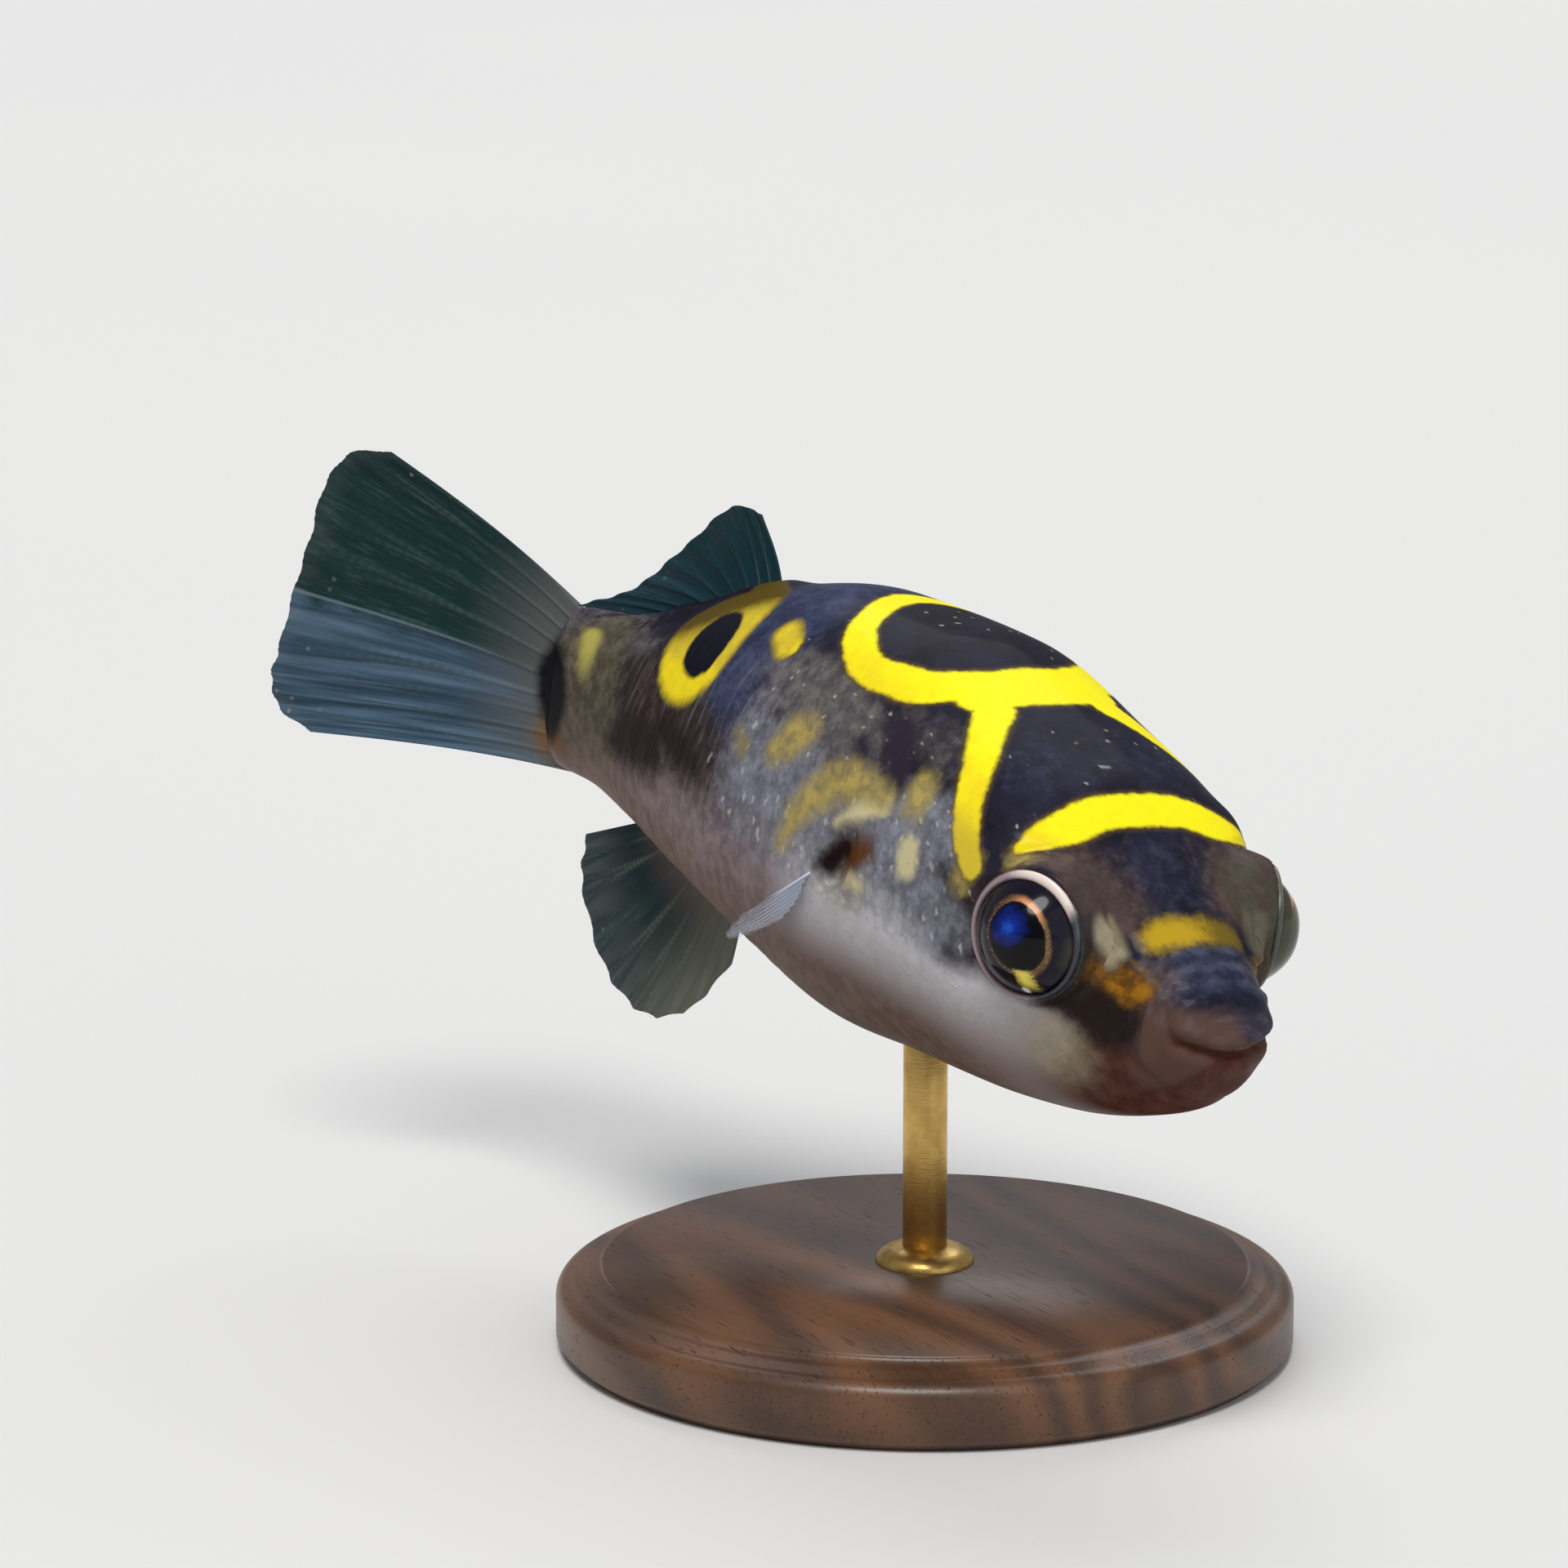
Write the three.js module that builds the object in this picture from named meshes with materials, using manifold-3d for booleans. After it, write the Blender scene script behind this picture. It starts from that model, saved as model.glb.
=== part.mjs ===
// Figure-eight pufferfish: a still, life-size model, held level over a plain turned base by one rod.
// Millimetres, +Z up. The fish heads along +X, and +Y is on its left.
// The origin is the centre of the base's underside.
//
// The fish is modelled straight, in its own frame: x runs forward from the snout (so flesh has x below 0),
// y to its left and z up from the line through the mouth. Cuts and sockets are made on that straight fish,
// and bend() then swings its hind body to the right. A group tilts the bent fish and lifts it over the base.
import * as THREE from "three";
import Module from "manifold-3d";
import { mergeVertices } from "three/addons/utils/BufferGeometryUtils.js";

const wasm = await Module();
wasm.setup();

// ---- driving dimensions ----

const STANDARD_LENGTH = 59; // snout to the root of the tail fin
const CUT = 0.3; // clear gap between neighbouring solids

// How the fish is held: the snout's place over the base, the nose-down pitch and the bank to its left.
const SNOUT = new THREE.Vector3(27.3, 1.5, 22.5);
const PITCH = 10.04;
const BANK = -5.65;

// The spine's bends, in degrees, each eased in between two distances behind the snout.
const BODY_SWING = { angle: 15.4, from: 0, to: 62 };
const TAIL_SWING = { angle: 24, from: 55, to: 76 };
const TAIL_SAG = { angle: 2.6, from: 18, to: 66 };
const SPINE_LENGTH = 90;
const SPINE_STEP = 0.5;

// Cross-sections: distance behind the snout, half width, height above and depth below the mouth's line,
// and how square the upper half is (2 is an ellipse). The broad flat brow has the squarest section.
const SECTIONS = [
  { name: "lips", at: 0.0, side: 1.85, above: 1.2, below: 1.75, crown: 2.3 },
  { name: "mouth", at: 1.2, side: 2.95, above: 2.4, below: 3.6, crown: 2.4 },
  { name: "snout", at: 5.0, side: 4.3, above: 4.1, below: 6.0, crown: 2.6 },
  { name: "brow", at: 9.0, side: 6.95, above: 6.5, below: 7.5, crown: 2.9 },
  { name: "cheek", at: 13.0, side: 9.2, above: 8.8, below: 8.2, crown: 2.8 },
  { name: "nape", at: 20.0, side: 9.9, above: 10.75, below: 9.1, crown: 2.6 },
  { name: "gill", at: 27.0, side: 10.0, above: 12.4, below: 10.0, crown: 2.4 },
  { name: "belly", at: 35.0, side: 9.3, above: 12.05, below: 8.85, crown: 2.2 },
  { name: "vent", at: 43.0, side: 7.3, above: 9.7, below: 7.5, crown: 2.1 },
  { name: "waist", at: 49.5, side: 5.05, above: 6.4, below: 6.2, crown: 2.1 },
  { name: "peduncle", at: 55.0, side: 3.05, above: 4.65, below: 5.4, crown: 2.1 },
  { name: "tail_root", at: STANDARD_LENGTH, side: 1.95, above: 4.1, below: 5.4, crown: 2.1 },
];
const KEEL = 2.25; // how square the lower half is
const NOSE = { tip: -0.25, length: 1.4 }; // the rounded front end
const STUB = { from: 57.4, length: 2.0 }; // the rounded rear end, inside the tail fin's root
const RINGS = 48;
const AROUND = 36;
const RING_CROWDING = 1.35; // above 1 crowds the rings towards the snout

// Where the flesh is parted, behind the snout.
const LIP_CUT = 2.6;
const GILL_CUT = 22.5;
const VENT_CUT = 43;
const MOUTH_HEIGHT = -0.6;
const BEYOND = 120; // a distance past every end of the fish

// Eyes: one ball each side, looking outwards and a little forwards. The skin is drawn over the ball as a lid,
// and opens round the gaze in a cone that is widest on the outside.
const EYE = { at: 9.75, side: 5.8, up: 2.45, radius: 3.45, forwards: 23.3, segments: 16 };
const LID = { radius: 4.15, blend: 0.25 };
const LID_OPENING = { inner: 2.2, outer: 4.6, depth: 4, segments: 32 };

// Soft raised patches on both flanks: the nostril's papilla and the jowl behind the lips.
const NOSTRIL = { at: 5.9, side: 4.2, up: 3.3, rise: 0.7, spread: 0.8 };
const JOWL = { at: 4.4, side: 3.6, up: -2.2, rise: 0.4, spread: 1.3 };
// The gill opening is a shallow dent just ahead of the breast fin.
const GILL = { at: 23.0, side: 9.9, up: 1.2, rise: -0.6, spread: 0.9 };

// Fins: the ray count, and the half thickness on a ray and on the web between two rays.
const FIN_STEPS = 6;
const RAY_HALF = 0.36;
const WEB_HALF = 0.26;
const ROOT_EXTRA = 0.14; // the root is this much thicker each side
const WEB_NOTCH = 0.012; // the web's share of the ray length that is missing at the margin

// The breast fin's rays run from a short root, along the middle ray turned towards the spread by each angle.
const BREAST_FIN = {
  root: [new THREE.Vector3(-24.2, 9.3, 1.1), new THREE.Vector3(-25.2, 9.2, -1.5)],
  middle: new THREE.Vector3(-0.81, 0.1, -0.645).normalize(),
  spread: new THREE.Vector3(0.23, 0.91, -0.33).normalize(),
  turns: [62, 6],
  reach: 6.6,
  rounding: 0.2, // the share by which the outer rays are shorter
};

const ROD = { radius: 1.2, reach: 3, segments: 24 };
const BASE = { radius: 20, height: 4.5, bevel: 0.8, segments: 56 };

const COLOURS = {
  skin: 0x35333f,
  lip: 0x6b4a40,
  fin: 0x2c3f46,
  clear_fin: 0xb9c0c6,
  eye: 0x14161c,
  brass: 0xb08d4a,
  wood: 0x3a261a,
};

// ---- curves ----

const radians = THREE.MathUtils.degToRad;
const ease = (x, from, to) => THREE.MathUtils.smoothstep(x, from, to);

// A smooth curve through (xs, ys) that never overshoots between its points.
function through(xs, ys) {
  const rise = xs.slice(1).map((x, i) => (ys[i + 1] - ys[i]) / (x - xs[i]));
  const slope = xs.map((x, i) => {
    if (i === 0) return rise[0];
    if (i === xs.length - 1) return rise[i - 1];
    if (rise[i - 1] * rise[i] <= 0) return 0;
    const before = xs[i] - xs[i - 1];
    const after = xs[i + 1] - xs[i];
    const near = 2 * after + before;
    const far = after + 2 * before;
    return (near + far) / (near / rise[i - 1] + far / rise[i]);
  });
  return (x) => {
    const inside = THREE.MathUtils.clamp(x, xs[0], xs[xs.length - 1]);
    let i = 0;
    while (i < xs.length - 2 && inside > xs[i + 1]) i++;
    const span = xs[i + 1] - xs[i];
    const t = (inside - xs[i]) / span;
    const rising = t * t * (3 - 2 * t);
    const start = ys[i] * (1 - rising) + ys[i + 1] * rising;
    return start + span * (slope[i] * t * (1 - t) ** 2 - slope[i + 1] * t * t * (1 - t));
  };
}

const stations = SECTIONS.map((s) => s.at);
const [side, above, below, crown] = ["side", "above", "below", "crown"].map((key) =>
  through(
    stations,
    SECTIONS.map((s) => s[key]),
  ),
);

// 0 at the two rounded ends of the body, 1 between them.
function endRounding(at, swell) {
  const front = (at - NOSE.tip + swell) / NOSE.length;
  const rear = (at - STUB.from - swell) / STUB.length;
  if (front < 1) return Math.sqrt(Math.max(0, 1 - (1 - front) ** 2));
  if (rear > 0) return Math.sqrt(Math.max(0, 1 - rear ** 2));
  return 1;
}

// The eyes are mirror images: way is 1 on the left and -1 on the right.
const eyeCentre = (way) => new THREE.Vector3(-EYE.at, way * EYE.side, EYE.up);

// A soft raised patch on both flanks, which pushes the skin out from the middle.
function raise(point, patch) {
  const push = new THREE.Vector3();
  for (const way of [1, -1]) {
    const centre = new THREE.Vector3(-patch.at, way * patch.side, patch.up);
    const share = Math.exp(-point.distanceToSquared(centre) / (2 * patch.spread ** 2));
    push.addScaledVector(new THREE.Vector3(0, way * patch.side, patch.up).normalize(), patch.rise * share);
  }
  return point.add(push);
}

// Draws the skin over each eyeball: nothing nearer to the ball's centre than the lid stays there.
function coverEyes(point) {
  for (const way of [1, -1]) {
    const centre = eyeCentre(way);
    const away = point.clone().sub(centre);
    const gap = (LID.radius - away.length()) / LID.blend;
    const push = Math.log1p(Math.exp(gap));
    point.copy(centre).add(away.setLength(away.length() + push * LID.blend));
  }
  return point;
}

// A point on the straight skin. turn runs from 0 on the back, down the left flank, round to a full turn.
function skinPoint(at, turn, swell = 0) {
  const up = Math.cos(turn);
  const left = Math.sin(turn);
  const squareness = 2 / (up > 0 ? crown(at) : KEEL);
  const size = endRounding(at, swell);
  const tall = (up > 0 ? above(at) : below(at)) + swell;
  const point = new THREE.Vector3(
    -at,
    (side(at) + swell) * size * Math.sign(left) * Math.abs(left) ** squareness,
    tall * size * Math.sign(up) * Math.abs(up) ** squareness,
  );
  return coverEyes([NOSTRIL, JOWL, GILL].reduce(raise, point));
}

// ---- the spine ----

const spine = [];
for (let i = 0, here = new THREE.Vector3(); i * SPINE_STEP <= SPINE_LENGTH; i++) {
  const at = i * SPINE_STEP;
  const swing = radians(
    BODY_SWING.angle * ease(at, BODY_SWING.from, BODY_SWING.to) +
      TAIL_SWING.angle * ease(at, TAIL_SWING.from, TAIL_SWING.to),
  );
  const sag = radians(TAIL_SAG.angle * ease(at, TAIL_SAG.from, TAIL_SAG.to));
  const back = new THREE.Vector3(
    -Math.cos(swing) * Math.cos(sag),
    -Math.sin(swing) * Math.cos(sag),
    -Math.sin(sag),
  );
  const left = new THREE.Vector3().crossVectors(back, new THREE.Vector3(0, 0, 1)).normalize();
  const up = new THREE.Vector3().crossVectors(left, back);
  const before = spine[i - 1];
  if (before) here = here.clone().addScaledVector(before.back.clone().add(back), SPINE_STEP / 2);
  spine.push({ here, back, left, up });
}

// Moves a point of the straight fish to its place in the bent one.
function bend(point) {
  const at = -point.x;
  const place = THREE.MathUtils.clamp(at / SPINE_STEP, 0, spine.length - 2);
  const i = Math.floor(place);
  const mix = (key) => spine[i][key].clone().lerp(spine[i + 1][key], place - i);
  const ahead = Math.min(at, 0); // the lips run a little ahead of the spine's start
  return mix("here")
    .addScaledVector(mix("back"), ahead)
    .addScaledVector(mix("left"), point.y)
    .addScaledVector(mix("up"), point.z);
}

// ---- solids ----

// A geometry as a manifold solid with its faces pointing out.
function solid(geometry) {
  const bare = geometry.clone();
  bare.deleteAttribute("normal");
  bare.deleteAttribute("uv");
  const merged = mergeVertices(bare, 1e-5);
  const vertProperties = merged.attributes.position.array;
  const triVerts = new Uint32Array(merged.index.array);
  const made = new wasm.Manifold(new wasm.Mesh({ numProp: 3, vertProperties, triVerts }));
  if (made.volume() > 0) return made;
  for (let i = 0; i < triVerts.length; i += 3) {
    [triVerts[i + 1], triVerts[i + 2]] = [triVerts[i + 2], triVerts[i + 1]];
  }
  return new wasm.Manifold(new wasm.Mesh({ numProp: 3, vertProperties, triVerts }));
}

// A solid's surface as a three.js geometry.
function surface(made) {
  const mesh = made.getMesh();
  const geometry = new THREE.BufferGeometry();
  geometry.setAttribute("position", new THREE.BufferAttribute(mesh.vertProperties, mesh.numProp));
  geometry.setIndex(new THREE.BufferAttribute(mesh.triVerts, 1));
  return geometry;
}

// The geometry with every vertex moved by a function of its place.
function reshape(geometry, move) {
  const position = geometry.attributes.position;
  for (let i = 0; i < position.count; i++) {
    position.setXYZ(i, ...move(new THREE.Vector3().fromBufferAttribute(position, i)).toArray());
  }
  return geometry;
}

const bent = (made) => solid(reshape(surface(made), bend));

// The whole straight body, swollen by a margin: a sphere drawn out along the fish.
function body(swell = 0) {
  const front = NOSE.tip - swell;
  const length = STUB.from + STUB.length + swell - front;
  return solid(
    reshape(new THREE.SphereGeometry(1, AROUND, RINGS), (p) => {
      const share = Math.acos(THREE.MathUtils.clamp(p.y, -1, 1)) / Math.PI;
      const radius = Math.hypot(p.x, p.z);
      const turn = radius < 1e-6 ? 0 : Math.atan2(p.z / radius, p.x / radius);
      if (radius < 1e-6) return new THREE.Vector3(-(share < 0.5 ? front : front + length), 0, 0);
      return skinPoint(front + length * share ** RING_CROWDING, turn, swell);
    }),
  );
}

// The slab of space between two distances behind the snout and two heights.
function slab(from, to, low = -BEYOND, high = BEYOND) {
  const box = new THREE.BoxGeometry(to - from, 2 * BEYOND, high - low);
  return solid(box.translate(-(from + to) / 2, 0, (low + high) / 2));
}

// An eyeball, or with a margin its socket.
function eyeball(way, swell = 0) {
  const ball = new THREE.SphereGeometry(EYE.radius + swell, EYE.segments, EYE.segments * 0.75);
  return solid(ball.translate(...eyeCentre(way).toArray()));
}

// The cone round the gaze that opens the lids.
function lidOpening(way) {
  const { outer, inner, depth, segments } = LID_OPENING;
  const cone = new THREE.CylinderGeometry(outer, inner, depth, segments).translate(0, depth / 2, 0);
  if (way < 0) cone.rotateX(Math.PI);
  cone.rotateZ(-way * radians(EYE.forwards));
  return solid(cone.translate(...eyeCentre(way).toArray()));
}

// A fin: rays that run from the root line to the margin, both given as functions of the share along the fin,
// with webs between them. bulge pushes the sheet sideways, as a function of the share along and out.
function fin({ rays, root, margin, bulge }) {
  const columns = 2 * (rays - 1);
  const place = (along, out) => {
    const start = root(along);
    const onRay = Math.round(along * columns) % 2 === 0;
    const reach = margin(along)
      .sub(start)
      .multiplyScalar(onRay ? 1 : 1 - WEB_NOTCH);
    return start.addScaledVector(reach, out).add(bulge(along, out));
  };
  const nudge = 0.01;
  return solid(
    reshape(new THREE.BoxGeometry(1, 1, 1, columns, FIN_STEPS, 1), (p) => {
      const along = p.x + 0.5;
      const out = p.y + 0.5;
      const onRay = Math.round(along * columns) % 2 === 0;
      const outwards = margin(along).sub(root(along));
      const across = margin(Math.min(1, along + nudge)).sub(margin(Math.max(0, along - nudge)));
      const normal = new THREE.Vector3().crossVectors(outwards, across).normalize();
      const half = (onRay ? RAY_HALF : WEB_HALF) + ROOT_EXTRA * (1 - out);
      return place(along, out).addScaledVector(normal, 2 * p.z * half);
    }),
  );
}

// A smooth line through (at, left, up) places, as a function of the share along it.
function line(...places) {
  const curve = new THREE.CatmullRomCurve3(places.map(([at, left, up]) => new THREE.Vector3(-at, left, up)));
  return (share) => curve.getPoint(THREE.MathUtils.clamp(share, 0, 1));
}

// ---- the fins, each given by its root line and its margin ----

// Broad and cut almost square, with rounded corners. The upper corner is the first ray.
const tailFin = fin({
  rays: 11,
  root: line([57.2, 0, 3.6], [57.6, 0, -0.8], [57.0, 0, -5.5]),
  margin: line(
    [73.6, 0, 9.9],
    [76.0, 0, 7.9],
    [76.9, 0, 3.2],
    [77.8, 0, -1.8],
    [78.6, 0, -6.0],
    [76.4, 0, -8.1],
  ),
  bulge: (along, out) => new THREE.Vector3(0, 0.5 * Math.sin(Math.PI * 3 * along) * out ** 2, 0),
});

// Swept back, its first rays leaning left and its last rays laid along the back to the right.
const backFin = fin({
  rays: 10,
  root: line([42.8, 0, 9.0], [46.2, 0, 7.4], [49.8, 0, 5.4]),
  margin: line([46.3, 0.8, 12.9], [48.6, 0.9, 12.6], [51.6, 0.5, 9.3], [54.0, -0.6, 6.3], [57.0, -1.9, 4.6]),
  bulge: (along, out) => new THREE.Vector3(0, 0.3 * Math.sin(Math.PI * out), 0),
});

// Fan-shaped and rounded, behind the vent.
const ventFin = fin({
  rays: 10,
  root: line([41.8, 0, -6.8], [44.4, 0, -6.2], [47.8, 0, -5.0]),
  margin: line(
    [42.2, 0, -12.2],
    [44.6, 0, -15.7],
    [48.5, 0, -17.3],
    [52.8, 0, -16.0],
    [55.8, 0, -11.8],
    [55.6, 0, -8.8],
  ),
  bulge: (along, out) => new THREE.Vector3(0, -0.5 * Math.sin(Math.PI * 2 * along) * out ** 2, 0),
});

// A short fan behind the gill opening, held out from the flank.
function breastFin(way) {
  const mirror = new THREE.Vector3(1, way, 1);
  const { root, middle, spread, turns, reach, rounding } = BREAST_FIN;
  const start = (along) => root[0].clone().lerp(root[1], along);
  const end = (along) => {
    const turn = radians(THREE.MathUtils.lerp(turns[0], turns[1], along));
    const length = reach * (1 - rounding * (2 * along - 1) ** 2);
    return start(along)
      .addScaledVector(middle, length * Math.cos(turn))
      .addScaledVector(spread, length * Math.sin(turn));
  };
  return fin({
    rays: 8,
    root: (along) => start(along).multiply(mirror),
    margin: (along) => end(along).multiply(mirror),
    bulge: () => new THREE.Vector3(),
  });
}

// ---- the flesh, parted at the lips, the gills and the vent ----

const whole = body();
const clearance = body(CUT);
const half = CUT / 2;

const face = whole.intersect(slab(-BEYOND, LIP_CUT - half));
let head = whole.intersect(slab(LIP_CUT + half, GILL_CUT - half));
for (const way of [1, -1]) head = head.subtract(eyeball(way, CUT)).subtract(lidOpening(way));

const tilt = new THREE.Group();
tilt.name = "tilted_fish";
tilt.position.copy(SNOUT);
tilt.rotation.set(radians(BANK), radians(PITCH), 0, "ZYX");
tilt.updateMatrixWorld(true);

// The rod stands under the belly, over the base's centre, and ends inside the flesh.
const bellyHeight = SNOUT.z - below(SNOUT.x) + SNOUT.x * Math.sin(radians(PITCH));
const rodTop = bellyHeight + ROD.reach;
function rod(swell, low, high) {
  const shaft = new THREE.CylinderGeometry(ROD.radius + swell, ROD.radius + swell, high - low, ROD.segments);
  return shaft.rotateX(Math.PI / 2).translate(0, 0, (low + high) / 2);
}
const rodHole = solid(rod(CUT, 0, rodTop + CUT).applyMatrix4(tilt.matrixWorld.clone().invert()));

const flesh = {
  upper_lip: bent(face.intersect(slab(-BEYOND, BEYOND, MOUTH_HEIGHT + half, BEYOND))),
  lower_lip: bent(face.intersect(slab(-BEYOND, BEYOND, -BEYOND, MOUTH_HEIGHT - half))),
  head: bent(head),
  trunk: bent(whole.intersect(slab(GILL_CUT + half, VENT_CUT - half))).subtract(rodHole),
  tail: bent(whole.intersect(slab(VENT_CUT + half, BEYOND))),
};
const eyes = {
  eye_left: bent(eyeball(1)),
  eye_right: bent(eyeball(-1)),
};
const darkFins = {
  caudal_fin: bent(tailFin.subtract(clearance)),
  dorsal_fin: bent(backFin.subtract(clearance)),
  anal_fin: bent(ventFin.subtract(clearance)),
};
const clearFins = {
  pectoral_fin_left: bent(breastFin(1).subtract(clearance)),
  pectoral_fin_right: bent(breastFin(-1).subtract(clearance)),
};

// ---- the scene graph ----

function finish(colour, roughness, metalness = 0) {
  return new THREE.MeshStandardMaterial({ color: COLOURS[colour], roughness, metalness });
}

function addAll(group, solids, material) {
  for (const [name, made] of Object.entries(solids)) {
    const mesh = new THREE.Mesh(surface(made), material);
    mesh.name = name;
    group.add(mesh);
  }
}

const { upper_lip, lower_lip, ...skinned } = flesh;
addAll(tilt, skinned, finish("skin", 0.4));
addAll(tilt, { upper_lip, lower_lip }, finish("lip", 0.45));
addAll(tilt, eyes, finish("eye", 0.08));
addAll(tilt, darkFins, finish("fin", 0.45));
addAll(tilt, clearFins, finish("clear_fin", 0.4));

// The base is turned: a flat disc with a bevelled upper edge and a blind hole for the rod.
function turnedBase() {
  const hole = ROD.radius + CUT;
  const floor = BASE.height - ROD.reach;
  const profile = [
    [0, 0],
    [BASE.radius, 0],
    [BASE.radius, BASE.height - BASE.bevel],
    [BASE.radius - BASE.bevel, BASE.height],
    [hole, BASE.height],
    [hole, floor],
    [0, floor],
  ].map(([r, z]) => new THREE.Vector2(r, z));
  return new THREE.LatheGeometry(profile, BASE.segments).rotateX(Math.PI / 2);
}

const object = new THREE.Group();
object.name = "pufferfish_on_stand";
object.add(tilt);
addAll(object, { stand_base: solid(turnedBase()) }, finish("wood", 0.5));
const shaft = solid(rod(0, BASE.height - ROD.reach + CUT, rodTop));
addAll(object, { stand_rod: shaft }, finish("brass", 0.3, 1));

export default object;
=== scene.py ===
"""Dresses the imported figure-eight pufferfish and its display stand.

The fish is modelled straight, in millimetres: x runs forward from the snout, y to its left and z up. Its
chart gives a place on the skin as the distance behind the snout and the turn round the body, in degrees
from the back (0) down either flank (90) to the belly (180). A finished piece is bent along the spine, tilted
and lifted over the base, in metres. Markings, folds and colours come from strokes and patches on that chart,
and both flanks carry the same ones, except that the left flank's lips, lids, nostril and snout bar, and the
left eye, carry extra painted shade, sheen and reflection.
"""

import logging
import math
from dataclasses import dataclass, field
from enum import Enum
from typing import Callable, Sequence

import bmesh
import bpy
import numpy as np
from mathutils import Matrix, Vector


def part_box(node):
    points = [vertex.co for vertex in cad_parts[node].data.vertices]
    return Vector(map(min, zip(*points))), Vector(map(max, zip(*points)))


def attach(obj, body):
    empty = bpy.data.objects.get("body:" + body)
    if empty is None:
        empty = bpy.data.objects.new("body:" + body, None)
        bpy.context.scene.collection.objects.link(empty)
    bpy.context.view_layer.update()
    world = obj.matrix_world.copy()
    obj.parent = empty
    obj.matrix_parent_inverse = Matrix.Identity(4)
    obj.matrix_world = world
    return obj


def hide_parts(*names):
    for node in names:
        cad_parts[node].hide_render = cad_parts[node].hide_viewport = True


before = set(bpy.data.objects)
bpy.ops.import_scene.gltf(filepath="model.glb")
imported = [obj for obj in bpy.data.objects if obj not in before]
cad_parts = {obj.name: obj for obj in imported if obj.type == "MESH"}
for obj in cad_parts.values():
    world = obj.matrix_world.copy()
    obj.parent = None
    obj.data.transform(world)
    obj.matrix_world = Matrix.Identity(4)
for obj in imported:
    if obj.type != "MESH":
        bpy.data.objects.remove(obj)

log = logging.getLogger("pufferfish")
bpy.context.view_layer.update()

MM = 0.001
BODY = "root"
LEFT, RIGHT = 1, -1

Numbers = np.ndarray
Colour = tuple[float, float, float, float]


# ---------------------------------------------------------------- curves and sums


def srgb(red: int, green: int, blue: int) -> Colour:
    """Turns a colour as seen on a screen, 0 to 255, into the linear one that a shader takes.

    Args:
        red: The red part.
        green: The green part.
        blue: The blue part.

    Returns:
        The linear colour, with an alpha of 1.
    """
    parts = [c / 255 for c in (red, green, blue)]
    linear = [c / 12.92 if c <= 0.04045 else ((c + 0.055) / 1.055) ** 2.4 for c in parts]
    return (linear[0], linear[1], linear[2], 1.0)


def ease(x: Numbers, low: float, high: float) -> Numbers:
    """Rises smoothly from 0 at low to 1 at high, or falls where low is the higher.

    Args:
        x: The values.
        low: Where the result is 0.
        high: Where the result is 1.

    Returns:
        The eased shares.
    """
    t = np.clip((np.asarray(x, float) - low) / (high - low), 0, 1)
    return t * t * (3 - 2 * t)


def bump(distance: Numbers, width: float) -> Numbers:
    """A smooth hump: 1 at no distance, and about 0.6 at the width."""
    return np.exp(-0.5 * (distance / width) ** 2)


def unit(vectors: Numbers) -> Numbers:
    """The vectors at length 1."""
    return vectors / np.maximum(np.linalg.norm(vectors, axis=-1, keepdims=True), 1e-12)


class Profile:
    """A smooth curve through stations, which never overshoots between two of them."""

    def __init__(self, xs: Sequence[float], ys: Sequence[float]) -> None:
        """Works out the slopes.

        Args:
            xs: The stations, rising.
            ys: The values there.
        """
        self.xs = np.array(xs, float)
        self.ys = np.array(ys, float)
        span = np.diff(self.xs)
        rise = np.diff(self.ys) / span
        self.slopes = np.concatenate([rise[:1], np.zeros(len(xs) - 2), rise[-1:]])
        near = 2 * span[1:] + span[:-1]
        far = span[1:] + 2 * span[:-1]
        for i in range(len(xs) - 2):
            if rise[i] * rise[i + 1] > 0:
                self.slopes[i + 1] = (near[i] + far[i]) / (near[i] / rise[i] + far[i] / rise[i + 1])

    def __call__(self, x: Numbers) -> Numbers:
        """The values at x, held level beyond the ends.

        Args:
            x: Places among the stations.

        Returns:
            The values there.
        """
        inside = np.clip(np.asarray(x, float), self.xs[0], self.xs[-1])
        i = np.clip(np.searchsorted(self.xs, inside) - 1, 0, len(self.xs) - 2)
        span = self.xs[i + 1] - self.xs[i]
        t = (inside - self.xs[i]) / span
        rising = t * t * (3 - 2 * t)
        level = self.ys[i] * (1 - rising) + self.ys[i + 1] * rising
        return level + span * (self.slopes[i] * t * (1 - t) ** 2 - self.slopes[i + 1] * t * t * (1 - t))


class Line:
    """A smooth line through a few places, as a function of the share along it."""

    def __init__(self, places: Sequence[Sequence[float]]) -> None:
        """Keeps the places, with one more beyond each end.

        Args:
            places: Points of any number of dimensions.
        """
        points = np.array(places, float)
        before = 2 * points[0] - points[1]
        after = 2 * points[-1] - points[-2]
        self.points = np.vstack([before, points, after])

    def __call__(self, share: Numbers) -> Numbers:
        """The points at those shares.

        Args:
            share: Shares of the way along the line, from 0 to 1.

        Returns:
            The points, one row each.
        """
        place = np.clip(np.asarray(share, float), 0, 1) * (len(self.points) - 3)
        i = np.minimum(place.astype(int), len(self.points) - 4)
        t = (place - i)[..., None]
        a, b, c, d = (self.points[i + k] for k in range(4))
        first, middle, last = (
            np.maximum(np.sqrt(np.linalg.norm(q - p, axis=-1, keepdims=True)), 1e-4)
            for p, q in ((a, b), (b, c), (c, d))
        )
        start = ((b - a) / first - (c - a) / (first + middle) + (c - b) / middle) * middle
        end = ((c - b) / middle - (d - b) / (middle + last) + (d - c) / last) * middle
        cubic = (2 * b - 2 * c + start + end) * t**3 + (3 * c - 3 * b - 2 * start - end) * t**2
        return cubic + start * t + b


# ---------------------------------------------------------------- the straight fish and its place


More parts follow.
